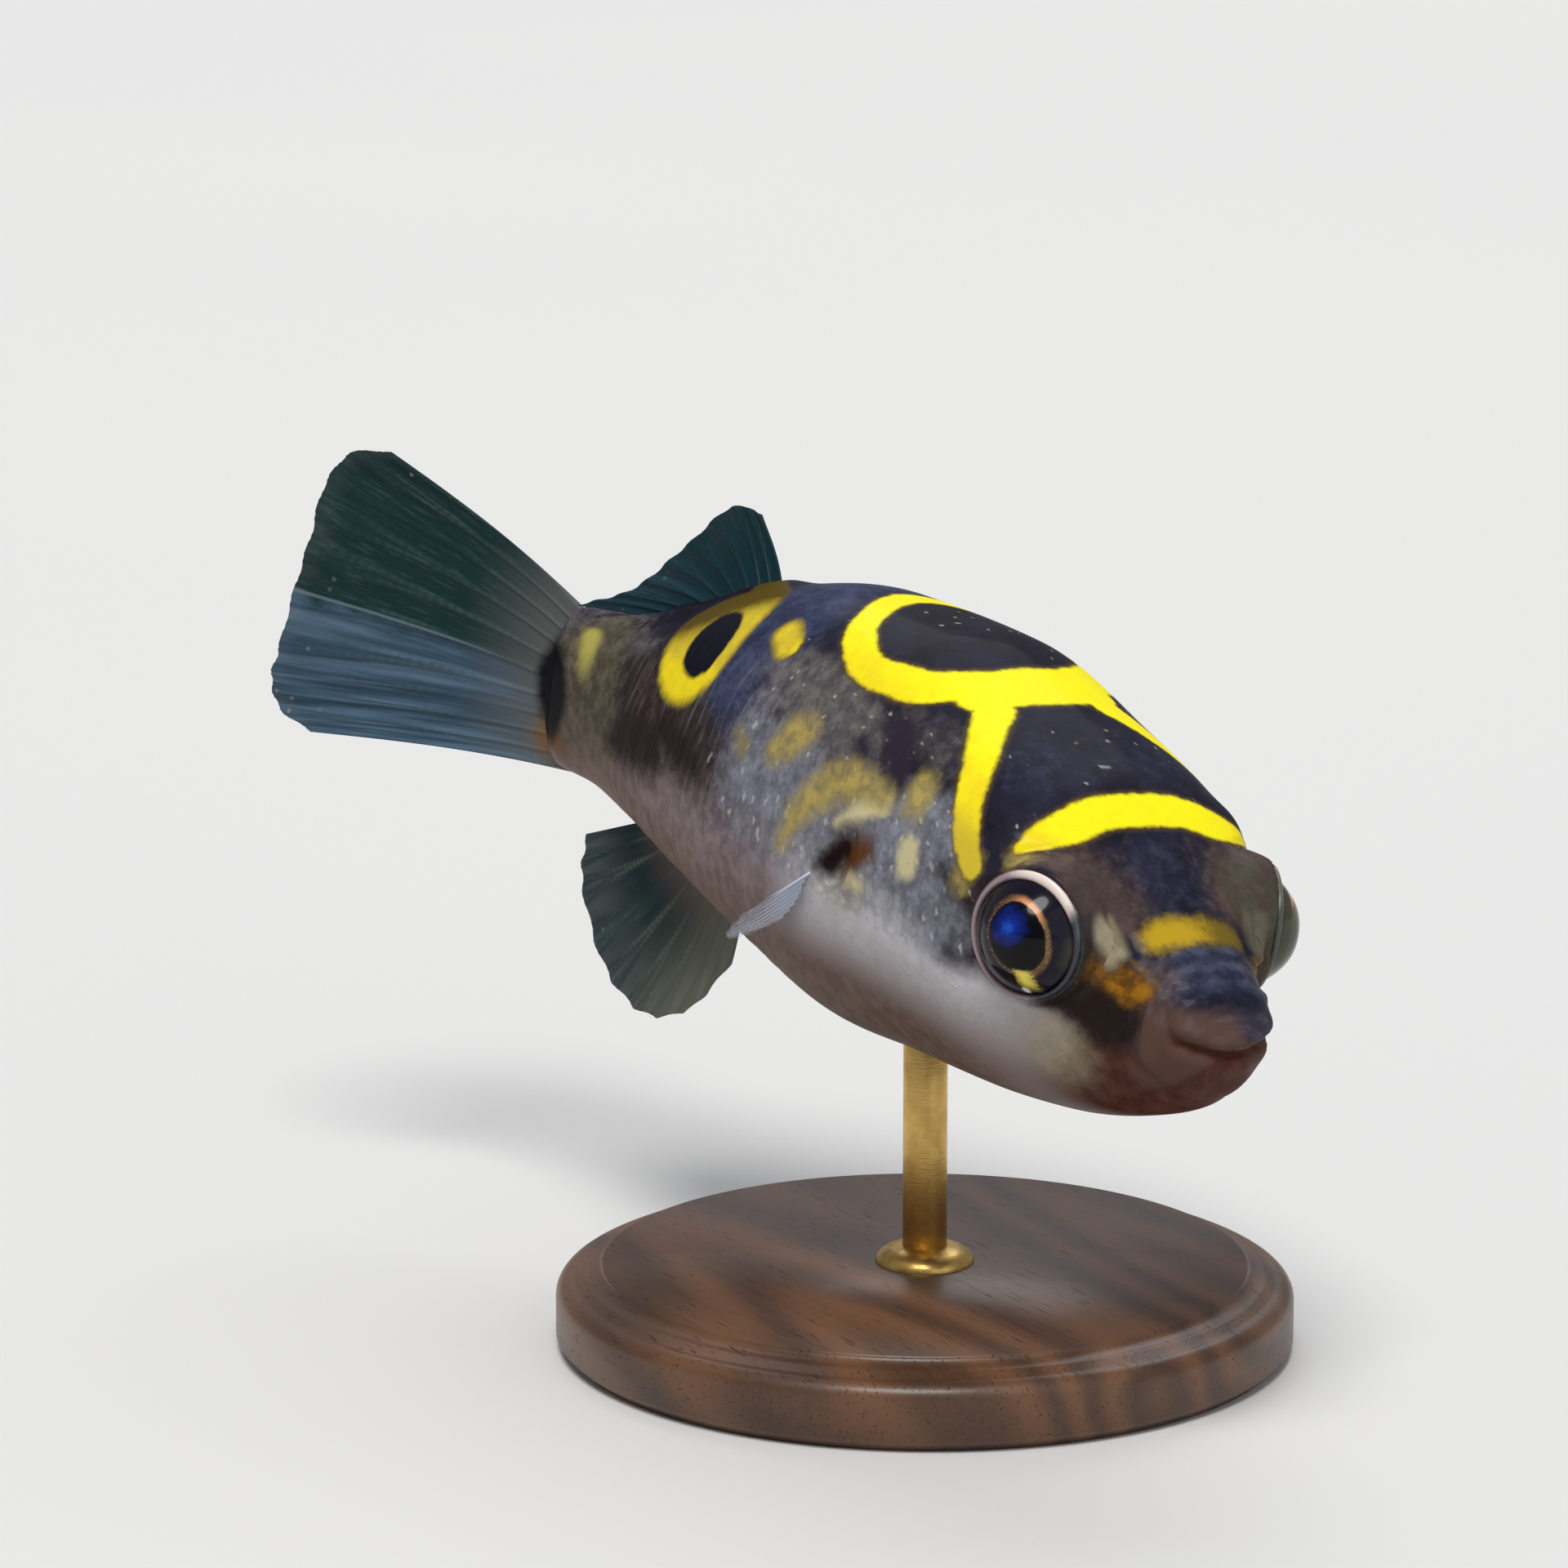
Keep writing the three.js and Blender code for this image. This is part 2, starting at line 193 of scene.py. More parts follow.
@dataclass(frozen=True)
class Section:
    """A cross-section of the straight fish.

    at is behind the snout, side the half width, above and below the height over and depth under the mouth's
    line, and crown how square the upper half is, where 2 is an ellipse.
    """

    at: float
    side: float
    above: float
    below: float
    crown: float


SECTIONS = (
    Section(0.0, 1.85, 1.2, 1.75, 2.3),
    Section(1.2, 2.95, 2.4, 3.6, 2.4),
    Section(5.0, 4.3, 4.1, 6.0, 2.6),
    Section(9.0, 6.95, 6.5, 7.5, 2.9),
    Section(13.0, 9.2, 8.8, 8.2, 2.8),
    Section(20.0, 9.9, 10.75, 9.1, 2.6),
    Section(27.0, 10.0, 12.4, 10.0, 2.4),
    Section(35.0, 9.3, 12.05, 8.85, 2.2),
    Section(43.0, 7.3, 9.7, 7.5, 2.1),
    Section(49.5, 5.05, 6.4, 6.2, 2.1),
    Section(55.0, 3.05, 4.65, 5.4, 2.1),
    Section(59.0, 1.95, 4.1, 5.4, 2.1),
)


@dataclass(frozen=True)
class Patch:
    """A soft raised patch on both flanks of the straight fish, in millimetres."""

    at: float
    side: float
    up: float
    rise: float
    spread: float


@dataclass(frozen=True)
class EyePlace:
    """Where the eyeballs sit in the straight fish, and how the skin meets them."""

    at: float = 9.73
    side: float = 5.81
    up: float = 2.45
    radius: float = 3.43
    forwards: float = 23.3
    lowered: float = 1.1
    aperture: tuple[float, float] = (60.5, 67.0)
    tucked: float = 2.85
    lid: float = 3.92
    blend: float = 0.3

    def centre(self, way: int) -> Numbers:
        """The centre of the eyeball on that side."""
        return np.array([-self.at, way * self.side, self.up])

    def axes(self, way: int) -> Numbers:
        """The eye's own axes as rows: towards the snout, up, and along the gaze.

        Args:
            way: The side, LEFT or RIGHT.

        Returns:
            The three unit axes.
        """
        out, down = math.radians(self.forwards), math.radians(self.lowered)
        level = np.array([math.sin(out), way * math.cos(out), 0.0])
        gaze = level * math.cos(down) - np.array([0, 0, math.sin(down)])
        forward = unit(np.array([math.cos(out), -way * math.sin(out), 0.0]))
        up = np.cross(forward, gaze) * way
        return np.stack([forward, up, gaze])


@dataclass(frozen=True)
class StraightFish:
    """The outer form of the unbent fish."""

    keel: float = 2.25
    nose_tip: float = -0.25
    nose_length: float = 1.4
    stub_from: float = 57.4
    stub_length: float = 2.0
    crowding: float = 1.35
    eye: EyePlace = EyePlace()
    jowl: Patch = Patch(4.4, 3.6, -2.2, 0.4, 1.3)
    gill: Patch = Patch(23.0, 9.9, 1.2, -0.6, 0.9)
    profiles: dict[str, Profile] = field(
        default_factory=lambda: {
            key: Profile([s.at for s in SECTIONS], [getattr(s, key) for s in SECTIONS])
            for key in ("side", "above", "below", "crown")
        }
    )

    def behind(self, share: Numbers) -> Numbers:
        """The distance behind the snout at a share of the way from the lips to the tail's root."""
        length = self.stub_from + self.stub_length - self.nose_tip
        return self.nose_tip + length * share**self.crowding

    def end_rounding(self, at: Numbers) -> Numbers:
        """0 at the two rounded ends of the body, 1 between them.

        Args:
            at: Distances behind the snout, in millimetres.

        Returns:
            The share of the section's full size.
        """
        front = np.clip((at - self.nose_tip) / self.nose_length, 0, 1)
        rear = np.clip((at - self.stub_from) / self.stub_length, 0, 1)
        return np.sqrt(1 - (1 - front) ** 2) * np.sqrt(1 - rear**2)

    def place(self, at: Numbers, turn: Numbers) -> Numbers:
        """Finds skin points from the chart.

        Args:
            at: Distances behind the snout, in millimetres.
            turn: Turns round the body, in degrees, from 0 on the back towards the left flank.

        Returns:
            The points, before the eyes are set in.
        """
        at, turn = np.broadcast_arrays(np.asarray(at, float), np.radians(turn))
        up, left = np.cos(turn), np.sin(turn)
        power = 2 / np.where(up > 0, self.profiles["crown"](at), self.keel)
        size = self.end_rounding(at)
        tall = np.where(up > 0, self.profiles["above"](at), self.profiles["below"](at))
        y = self.profiles["side"](at) * size * np.sign(left) * np.abs(left) ** power
        z = tall * size * np.sign(up) * np.abs(up) ** power
        points = np.stack([-at, y, z], axis=-1)
        for patch in (self.jowl, self.gill):
            points = self.raised(points, patch)
        return points

    @staticmethod
    def raised(points: Numbers, patch: Patch) -> Numbers:
        """Pushes both flanks out, or in, round a patch.

        Args:
            points: Points on the straight fish.
            patch: The patch.

        Returns:
            The pushed points.
        """
        push = np.zeros_like(points)
        for way in (LEFT, RIGHT):
            middle = np.array([-patch.at, way * patch.side, patch.up])
            share = bump(np.linalg.norm(points - middle, axis=-1), patch.spread)
            push += share[..., None] * patch.rise * unit(np.array([0, way * patch.side, patch.up]))
        return points + push

    def set_in_eyes(self, points: Numbers) -> Numbers:
        """Draws the skin over each eyeball as a lid, and tucks it behind the ball inside the opening."""
        for way in (LEFT, RIGHT):
            centre = self.eye.centre(way)
            away = points - centre
            far = np.linalg.norm(away, axis=-1)
            gaze = self.eye.axes(way)[2]
            angle = np.degrees(np.arccos(np.clip(unit(away) @ gaze, -1, 1)))
            over = far + self.eye.blend * np.log1p(np.exp((self.eye.lid - far) / self.eye.blend))
            opened = ease(angle, *self.eye.aperture)
            length = self.eye.tucked + (over - self.eye.tucked) * opened
            points = centre + unit(away) * length[..., None]
        return points


@dataclass(frozen=True)
class Swing:
    """A bend of the spine, in degrees, eased in between two distances behind the snout."""

    angle: float
    start: float
    end: float

    def __call__(self, at: Numbers) -> Numbers:
        """The bend so far, in radians."""
        return math.radians(self.angle) * ease(at, self.start, self.end)


class Spine:
    """Bends the straight fish to its right, tilts it and lifts it over the base."""

    body_swing: Swing = Swing(15.4, 0, 62)
    tail_swing: Swing = Swing(24, 55, 76)
    tail_sag: Swing = Swing(2.6, 18, 66)
    length: float = 90.0
    step: float = 0.5
    pitch: float = 10.04
    bank: float = -5.65

    def __init__(self, eye: EyePlace) -> None:
        """Lays out the spine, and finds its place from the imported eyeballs.

        Args:
            eye: Where the eyeballs sit in the straight fish.
        """
        at = np.arange(0, self.length + self.step / 2, self.step)
        swing = self.body_swing(at) + self.tail_swing(at)
        sag = self.tail_sag(at)
        level = np.stack([-np.cos(swing), -np.sin(swing)], axis=1) * np.cos(sag)[:, None]
        self.back = np.column_stack([level, -np.sin(sag)])
        self.left = unit(np.cross(self.back, [0, 0, 1]))
        self.up = np.cross(self.left, self.back)
        steps = (self.back[1:] + self.back[:-1]) * self.step / 2
        self.here = np.vstack([np.zeros(3), np.cumsum(steps, axis=0)])
        p, b = math.radians(self.pitch), math.radians(self.bank)
        nod = np.array([[math.cos(p), 0, math.sin(p)], [0, 1, 0], [-math.sin(p), 0, math.cos(p)]])
        roll = np.array([[1, 0, 0], [0, math.cos(b), -math.sin(b)], [0, math.sin(b), math.cos(b)]])
        self.turned = nod @ roll
        packed = [np.mean([np.array(c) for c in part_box(name)], axis=0) for name in ("eye_left", "eye_right")]
        bare = self.bent(np.stack([eye.centre(LEFT), eye.centre(RIGHT)])) @ self.turned.T
        self.lift = np.mean(packed, axis=0) / MM - bare.mean(axis=0)

    def bent(self, points: Numbers) -> Numbers:
        """The straight fish's points, bent along the spine, in millimetres.

        Args:
            points: Points on the straight fish.

        Returns:
            The bent points, before they are tilted and lifted.
        """
        at = -points[:, 0]
        place = np.clip(at / self.step, 0, len(self.here) - 2)
        i = place.astype(int)
        t = (place - i)[:, None]
        tables = (self.here, self.back, self.left, self.up)
        here, back, left, up = (table[i] * (1 - t) + table[i + 1] * t for table in tables)
        ahead = np.minimum(at, 0)[:, None]
        return here + back * ahead + left * points[:, 1:2] + up * points[:, 2:3]

    def world(self, points: Numbers) -> Numbers:
        """The straight fish's points in their place over the base, in metres."""
        return (self.bent(points) @ self.turned.T + self.lift) * MM


FISH = StraightFish()
SPINE = Spine(FISH.eye)


# ---------------------------------------------------------------- meshes


def read_points(mesh: bpy.types.Mesh) -> Numbers:
    """The mesh's vertices as an array of points.

    Args:
        mesh: The mesh.

    Returns:
        One row for each vertex.
    """
    flat = np.empty(len(mesh.vertices) * 3)
    mesh.vertices.foreach_get("co", flat)
    return flat.reshape(-1, 3)


def write_points(mesh: bpy.types.Mesh, points: Numbers) -> None:
    """Moves the mesh's vertices to an array of points."""
    mesh.vertices.foreach_set("co", np.ascontiguousarray(points, float).ravel())
    mesh.update()


def read_normals(mesh: bpy.types.Mesh) -> Numbers:
    """The mesh's vertex normals as an array of directions.

    Args:
        mesh: The mesh.

    Returns:
        One row for each vertex.
    """
    flat = np.empty(len(mesh.vertices) * 3)
    mesh.vertex_normals.foreach_get("vector", flat)
    return flat.reshape(-1, 3)


def paint_value(mesh: bpy.types.Mesh, name: str, values: Numbers) -> None:
    """Keeps one number for each vertex under a name that materials read."""
    layer = mesh.attributes.new(name, "FLOAT", "POINT")
    layer.data.foreach_set("value", np.ascontiguousarray(values, np.float32))


def paint_vector(mesh: bpy.types.Mesh, name: str, values: Numbers) -> None:
    """Keeps three numbers for each vertex under a name that materials read."""
    layer = mesh.attributes.new(name, "FLOAT_VECTOR", "POINT")
    layer.data.foreach_set("vector", np.ascontiguousarray(values, np.float32).ravel())


def face_outwards(mesh: bpy.types.Mesh) -> None:
    """Makes a closed mesh's faces point out.

    Args:
        mesh: The mesh, which is changed.
    """
    bm = bmesh.new()
    bm.from_mesh(mesh)
    bmesh.ops.recalc_face_normals(bm, faces=bm.faces[:])
    if bm.calc_volume(signed=True) < 0:
        bmesh.ops.reverse_faces(bm, faces=bm.faces[:])
    bm.to_mesh(mesh)
    bm.free()
    mesh.update()


def to_mesh(name: str, bm: bmesh.types.BMesh) -> bpy.types.Mesh:
    """Turns a finished bmesh into a mesh, and frees it.

    Args:
        name: The mesh's name.
        bm: The bmesh.

    Returns:
        The mesh.
    """
    mesh = bpy.data.meshes.new(name)
    bm.to_mesh(mesh)
    bm.free()
    return mesh


def add_piece(mesh: bpy.types.Mesh, material: bpy.types.Material) -> bpy.types.Object:
    """Adds a finished mesh to the scene as a smooth piece of the object.

    Args:
        mesh: The mesh, with its place in its vertices.
        material: Its finish.

    Returns:
        The piece's object.
    """
    face_outwards(mesh)
    mesh.polygons.foreach_set("use_smooth", np.ones(len(mesh.polygons), bool))
    mesh.materials.append(material)
    piece = bpy.data.objects.new(mesh.name, mesh)
    bpy.context.scene.collection.objects.link(piece)
    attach(piece, BODY)
    log.info("%s: %d faces", piece.name, len(mesh.polygons))
    return piece


def turned_mesh(
    name: str, profile: Sequence[tuple[float, float]], steps: int, closed: bool = False
) -> bpy.types.Mesh:
    """Turns a profile about the vertical axis.

    Args:
        name: The mesh's name.
        profile: Radius and height of each point, in the mesh's own units.
        steps: How many facets go round.
        closed: Whether the profile's last point joins its first, as on a ring.

    Returns:
        The turned mesh, closed at its poles.
    """
    bm = bmesh.new()
    verts = [bm.verts.new((radius, 0, height)) for radius, height in profile]
    pairs = list(zip(verts, verts[1:])) + ([(verts[-1], verts[0])] if closed else [])
    edges = [bm.edges.new(pair) for pair in pairs]
    bmesh.ops.spin(
        bm,
        geom=verts + edges,
        cent=(0, 0, 0),
        axis=(0, 0, 1),
        angle=math.tau,
        steps=steps,
        use_merge=True,
        use_duplicate=False,
    )
    bmesh.ops.remove_doubles(bm, verts=bm.verts[:], dist=1e-7)
    return to_mesh(name, bm)


# ---------------------------------------------------------------- shaders


class Term:
    """A number or colour that varies over a surface. Arithmetic on it adds Math nodes."""

    def __init__(self, shader: "Shader", socket: bpy.types.NodeSocket) -> None:
        """Wraps an output socket of one of the shader's nodes."""
        self.shader = shader
        self.socket = socket

    def maths(self, operation: str, first: "Term | float", second: "Term | float") -> "Term":
        """Adds one Math node on two values."""
        return self.shader.node("ShaderNodeMath", {"operation": operation}, {0: first, 1: second})

    def __add__(self, other: "Term | float") -> "Term":
        """The sum."""
        return self.maths("ADD", self, other)

    __radd__ = __add__

    def __sub__(self, other: "Term | float") -> "Term":
        """The difference."""
        return self.maths("SUBTRACT", self, other)

    def __rsub__(self, other: "Term | float") -> "Term":
        """The difference, the other way round."""
        return self.maths("SUBTRACT", other, self)

    def __mul__(self, other: "Term | float") -> "Term":
        """The product."""
        return self.maths("MULTIPLY", self, other)

    __rmul__ = __mul__

    def __truediv__(self, other: "Term | float") -> "Term":
        """The quotient."""
        return self.maths("DIVIDE", self, other)

    def high(self, other: "Term | float") -> "Term":
        """The larger of the two."""
        return self.maths("MAXIMUM", self, other)

    def low(self, other: "Term | float") -> "Term":
        """The smaller of the two."""
        return self.maths("MINIMUM", self, other)

    def absolute(self) -> "Term":
        """The size, without its sign."""
        return self.shader.node("ShaderNodeMath", {"operation": "ABSOLUTE"}, {0: self})

    def cosine(self) -> "Term":
        """The cosine, of radians."""
        return self.shader.node("ShaderNodeMath", {"operation": "COSINE"}, {0: self})

    def sine(self) -> "Term":
        """The sine, of radians."""
        return self.shader.node("ShaderNodeMath", {"operation": "SINE"}, {0: self})

    def rise(self, start: float, end: float) -> "Term":
        """Goes smoothly from 0 at start to 1 at end, or falls where start is the higher.

        Args:
            start: Where it is still 0.
            end: Where it has reached 1.

        Returns:
            The eased share.
        """
        settings = {"interpolation_type": "SMOOTHSTEP"}
        sockets = {"Value": self, "From Min": start, "From Max": end}
        return self.shader.node("ShaderNodeMapRange", settings, sockets)


class Shader:
    """One material's nodes."""

    def __init__(self, name: str) -> None:
        """Makes an empty material of that name.

        Args:
            name: The material's name.
        """
        self.material = bpy.data.materials.new(name)
        self.material.use_nodes = True
        self.tree = self.material.node_tree
        self.tree.nodes.clear()

    def node(
        self,
        kind: str,
        settings: dict[str, object] | None = None,
        sockets: dict[str | int, object] | None = None,
        result: str | int = 0,
    ) -> Term:
        """Adds one node.

        Args:
            kind: The node's type.
            settings: What is set on the node itself.
            sockets: The values or terms of its inputs.
            result: Which output is wanted.

        Returns:
            That output.
        """
        made = self.tree.nodes.new(kind)
        for key, value in (settings or {}).items():
            setattr(made, key, value)
        for key, value in (sockets or {}).items():
            if isinstance(value, Term):
                self.tree.links.new(value.socket, made.inputs[key])
            else:
                made.inputs[key].default_value = value
        return Term(self, made.outputs[result])

    def value(self, name: str) -> Term:
        """A number kept on the piece's vertices."""
        return self.node("ShaderNodeAttribute", {"attribute_name": name}, result="Fac")

    def vector(self, name: str) -> Term:
        """Three numbers kept on the piece's vertices."""
        return self.node("ShaderNodeAttribute", {"attribute_name": name}, result="Vector")

    def parts(self, vector: Term) -> tuple[Term, Term, Term]:
        """A vector's three parts.

        Args:
            vector: The vector.

        Returns:
            Its x, y and z.
        """
        first = self.node("ShaderNodeSeparateXYZ", {}, {0: vector})
        outputs = first.socket.node.outputs
        return first, Term(self, outputs[1]), Term(self, outputs[2])

    def place(self) -> Term:
        """The place on the piece in its own coordinates, in metres."""
        return self.node("ShaderNodeTexCoord", result="Object")

    def length(self, vector: Term) -> Term:
        """The length of a vector."""
        return self.node("ShaderNodeVectorMath", {"operation": "LENGTH"}, {0: vector}, "Value")

    def distance(self, place: Term, middle: tuple[float, float, float]) -> Term:
        """The distance from a fixed place."""
        return self.node("ShaderNodeVectorMath", {"operation": "DISTANCE"}, {0: place, 1: middle}, "Value")

    def stretched(self, vector: Term, scale: tuple[float, float, float]) -> Term:
        """A vector with each part multiplied by its own number."""
        return self.node("ShaderNodeVectorMath", {"operation": "MULTIPLY"}, {0: vector, 1: scale})

    def noise(self, vector: Term, scale: float, detail: float = 2.0, rough: float = 0.5) -> Term:
        """Soft cloudy noise, from 0 to 1, with that many features to a unit of length."""
        sockets = {"Vector": vector, "Scale": scale, "Detail": detail, "Roughness": rough}
        return self.node("ShaderNodeTexNoise", {}, sockets)

    def cells(self, vector: Term, scale: float, flat: bool = False) -> tuple[Term, Term]:
        """Scattered points: the distance to the nearest one, and a random number for each.

        Args:
            vector: Where the cells are looked up.
            scale: How many cells there are to a unit of length.
            flat: Whether only the first two parts count.

        Returns:
            The distance, and the number from 0 to 1.
        """
        settings = {"voronoi_dimensions": "2D" if flat else "3D"}
        near = self.node("ShaderNodeTexVoronoi", settings, {"Vector": vector, "Scale": scale})
        chance = self.node("ShaderNodeSeparateColor", {}, {0: Term(self, near.socket.node.outputs["Color"])})
        return near, chance

    def mix(self, share: Term | float, first: Term | Colour, second: Term | Colour) -> Term:
        """The first colour where the share is 0, and the second where it is 1."""
        sockets = {0: share, 6: first, 7: second}
        return self.node("ShaderNodeMix", {"data_type": "RGBA", "clamp_factor": True}, sockets, result=2)

    def relief(self, height: Term, depth: float) -> Term:
        """Normals for a fine relief, depth millimetres from 0 to 1 of its height."""
        return self.node("ShaderNodeBump", {}, {"Strength": 1.0, "Distance": depth * MM, "Height": height})

    def finish(self, constants: dict[str, object], varying: dict[str, Term]) -> bpy.types.Material:
        """Adds the surface itself.

        Args:
            constants: The Principled shader's sockets that are the same all over.
            varying: Its sockets that vary.

        Returns:
            The finished material.
        """
        surface = self.node("ShaderNodeBsdfPrincipled", {}, {**constants, **varying})
        self.node_output(surface)
        return self.material

    def node_output(self, surface: Term) -> None:
        """Ends the nodes at the material's output."""
        made = self.tree.nodes.new("ShaderNodeOutputMaterial")
        self.tree.links.new(surface.socket, made.inputs["Surface"])


# ---------------------------------------------------------------- markings on the chart


class Mark(Enum):
    """The layers of marking. Each keeps the distance from its edge, below 0 inside."""

    YELLOW = "yellow"
    OCHRE = "ochre"
    INK = "ink"
    UMBER = "umber"
    CREAM = "cream"
    PLUM = "plum"
    SIENNA = "sienna"
    GILL = "gill"
    NOSTRIL = "nostril"


class Tint(Enum):
    """The soft tints of the ground, each a share from 0 to 1."""

    BLUE = "blue"
    MAUVE = "mauve"
    GREY = "grey"
    BROWN = "brown"
    CHEEK = "cheek"
    TAN = "tan"
    LILAC = "lilac"
    STRAW = "straw"
    PINK = "pink"
    # The shade tint is painted shade under the body, with some brown colour; the rust tint is the chin's
    # red-brown, deepened by painted shade.
    SHADE = "shade"
    RUST_AND_SHADE = "rust"
    LIPS = "lips"
    LID = "lid"


@dataclass(frozen=True)
class Stroke:
    """A band on the chart: places (behind the snout, turn, half width), joined by a smooth line."""

    mark: Mark
    places: tuple[tuple[float, float, float], ...]
    spacing: float = 0.15

    def samples(self) -> tuple[Numbers, Numbers]:
        """Points along the band's middle on the left flank, and the half widths there.

        Returns:
            The points, and one half width for each.
        """
        line = Line(self.places) if len(self.places) > 1 else None
        count = 1 if line is None else max(8, int(self.rough_length() / self.spacing))
        charted = np.array(self.places, float) if line is None else line(np.linspace(0, 1, count))
        return FISH.place(charted[:, 0], charted[:, 1]), charted[:, 2]

    def rough_length(self) -> float:
        """The length of the straight lines between its places, in millimetres."""
        ends = FISH.place([p[0] for p in self.places], [p[1] for p in self.places])
        return float(np.linalg.norm(np.diff(ends, axis=0), axis=1).sum())


def edge_distance(points: Numbers, middle: Numbers, half: Numbers, reach: float = 2.0) -> Numbers:
    """Measures how far points lie from the edge of a band.

    Args:
        points: The points, folded onto the left flank.
        middle: Points along the band's middle.
        half: The band's half width at each.
        reach: The distance at which measuring stops.

    Returns:
        The distances, below 0 inside the band and at most reach.
    """
    found = np.full(len(points), reach)
    margin = reach + half.max()
    close = np.all((points > middle.min(0) - margin) & (points < middle.max(0) + margin), axis=1)
    for point, width in zip(middle, half):
        away = np.linalg.norm(points[close] - point, axis=1) - width
        found[close] = np.minimum(found[close], away)
    return found


STROKES = (
    # the bar across the brow
    Stroke(
        Mark.YELLOW, ((11.65, 0, 1.1), (11.6, 8, 1.1), (11.25, 24, 1.05), (11.25, 37, 0.85), (11.4, 47, 0.4))
    ),
    # the saddle behind it, and its branch down behind the eye
    Stroke(Mark.YELLOW, ((21.7, 0, 1.6), (21.7, 16, 1.5))),
    Stroke(
        Mark.YELLOW,
        ((20.3, 16, 1.1), (17.5, 32.5, 0.9), (15.5, 49.5, 0.8), (14.1, 60, 0.75), (13.0, 66, 0.6)),
    ),
    # the loop on the back
    Stroke(
        Mark.YELLOW,
        (
            (33.3, 0, 0.9),
            (32.5, 13, 0.85),
            (30.6, 29, 0.95),
            (27.6, 36.5, 1.0),
            (24.7, 32.5, 1.2),
            (22.9, 21, 1.2),
            (21.8, 8, 1.4),
        ),
    ),
    # the ringed spot under the back fin, and the small spot ahead of it
    Stroke(Mark.YELLOW, ((43.5, 3, 0.7), (42.2, 14, 1.1), (41.5, 29, 2.4), (43.0, 43.5, 4.0))),
    Stroke(Mark.INK, ((42.3, 36, 0.7), (42.15, 42, 1.8), (42.3, 47, 2.0))),
    Stroke(Mark.YELLOW, ((34.95, 41, 0.9), (35.9, 37.5, 0.9))),
    # the bar over the snout, and the patch under the nostril
    Stroke(Mark.OCHRE, ((5.0, 0, 0.85), (5.0, 14, 0.9), (4.95, 26, 0.75))),
    Stroke(Mark.OCHRE, ((7.0, 73.5, 0.35), (5.4, 72.5, 0.7), (4.1, 71, 0.85), (3.4, 70, 0.6))),
    # the dull ends of the brow bar and of the branch, by the eye
    Stroke(Mark.OCHRE, ((11.3, 50, 0.5), (10.4, 56, 0.55))),
    Stroke(Mark.OCHRE, ((13.3, 65, 0.7), (13.3, 72, 0.55))),
    # blotches along the flank, with an arch over the gill opening
    Stroke(Mark.OCHRE, ((31.1, 70, 0.75), (30.2, 65.5, 1.15), (29.0, 61, 0.8))),
    Stroke(
        Mark.OCHRE,
        (
            (28.3, 88, 0.45),
            (27.2, 79.5, 0.9),
            (25.8, 73, 1.1),
            (24.3, 68, 1.1),
            (22.6, 65.5, 0.75),
            (21.1, 65.5, 0.65),
        ),
    ),
    Stroke(Mark.OCHRE, ((18.9, 54, 0.75), (18.7, 59, 0.95))),
    Stroke(Mark.OCHRE, ((34.9, 70, 0.35), (34.2, 73, 0.45))),
    Stroke(Mark.CREAM, ((17.7, 73.5, 0.75), (17.5, 77.5, 0.8))),
    Stroke(Mark.CREAM, ((24.0, 79.0, 0.15), (22.4, 72.0, 0.6), (20.8, 67.0, 0.5))),
    Stroke(Mark.CREAM, ((20.8, 87.5, 0.3), (22.4, 88.2, 0.35))),
    # the dark mouth of the gill opening and the brown skin ahead of it
    Stroke(Mark.SIENNA, ((20.9, 79.6, 0.5), (22.1, 82.6, 1.0), (23.2, 85.2, 0.85))),
    Stroke(Mark.GILL, ((23.6, 83.8, 0.5), (24.3, 87.8, 0.6))),
    # dark blotches
    Stroke(Mark.PLUM, ((24.6, 57, 0.6), (24.0, 58.5, 0.6))),
    Stroke(Mark.PLUM, ((22.8, 44.5, 0.8), (21.8, 50.5, 1.1), (20.9, 58, 0.9))),
    Stroke(Mark.UMBER, ((50.0, 97, 0.6), (47.0, 90, 1.5), (44.0, 87, 1.6))),
    Stroke(Mark.UMBER, ((43.5, 80, 0.9), (40.5, 82, 1.2), (38.0, 84, 0.6))),
    Stroke(Mark.UMBER, ((8.6, 81, 0.5), (6.4, 88, 1.15), (4.9, 93, 1.05))),
    Stroke(Mark.UMBER, ((15.0, 72, 0.35), (13.4, 75, 0.45))),
)


@dataclass(frozen=True)
class TailSpot:
    """The upright oval where the tail fin joins, on flesh and fin alike, on the straight fish."""

    at: float = 58.3
    up: float = -0.75
    length: float = 2.45
    height: float = 2.9
    reach: float = 2.0

    def edge(self, points: Numbers) -> Numbers:
        """The distance from the oval's edge, below 0 inside it.

        Args:
            points: Points on the straight fish.

        Returns:
            The distances, in millimetres and no more than the reach.
        """
        along = (-points[:, 0] - self.at) / self.length
        rise = (points[:, 2] - self.up) / self.height
        return np.minimum((np.hypot(along, rise) - 1) * self.length, self.reach)


@dataclass(frozen=True)
class Wash:
    """A soft patch of tint round a place on the chart, in millimetres along and across the body."""

    tint: Tint
    at: float
    turn: float
    length: float
    height: float
    strength: float = 1.0

    def over(self, at: Numbers, turn: Numbers, girth: Numbers) -> Numbers:
        """The patch's share at each place of the chart.

        Args:
            at: Distances behind the snout, in millimetres.
            turn: Turns from the back, in degrees.
            girth: Distances from the middle line, in millimetres.

        Returns:
            The shares, up to the patch's strength.
        """
        along = (at - self.at) / self.length
        across = np.radians(turn - self.turn) * girth / self.height
        return self.strength * np.exp(-0.5 * (along**2 + across**2) ** 1.2)


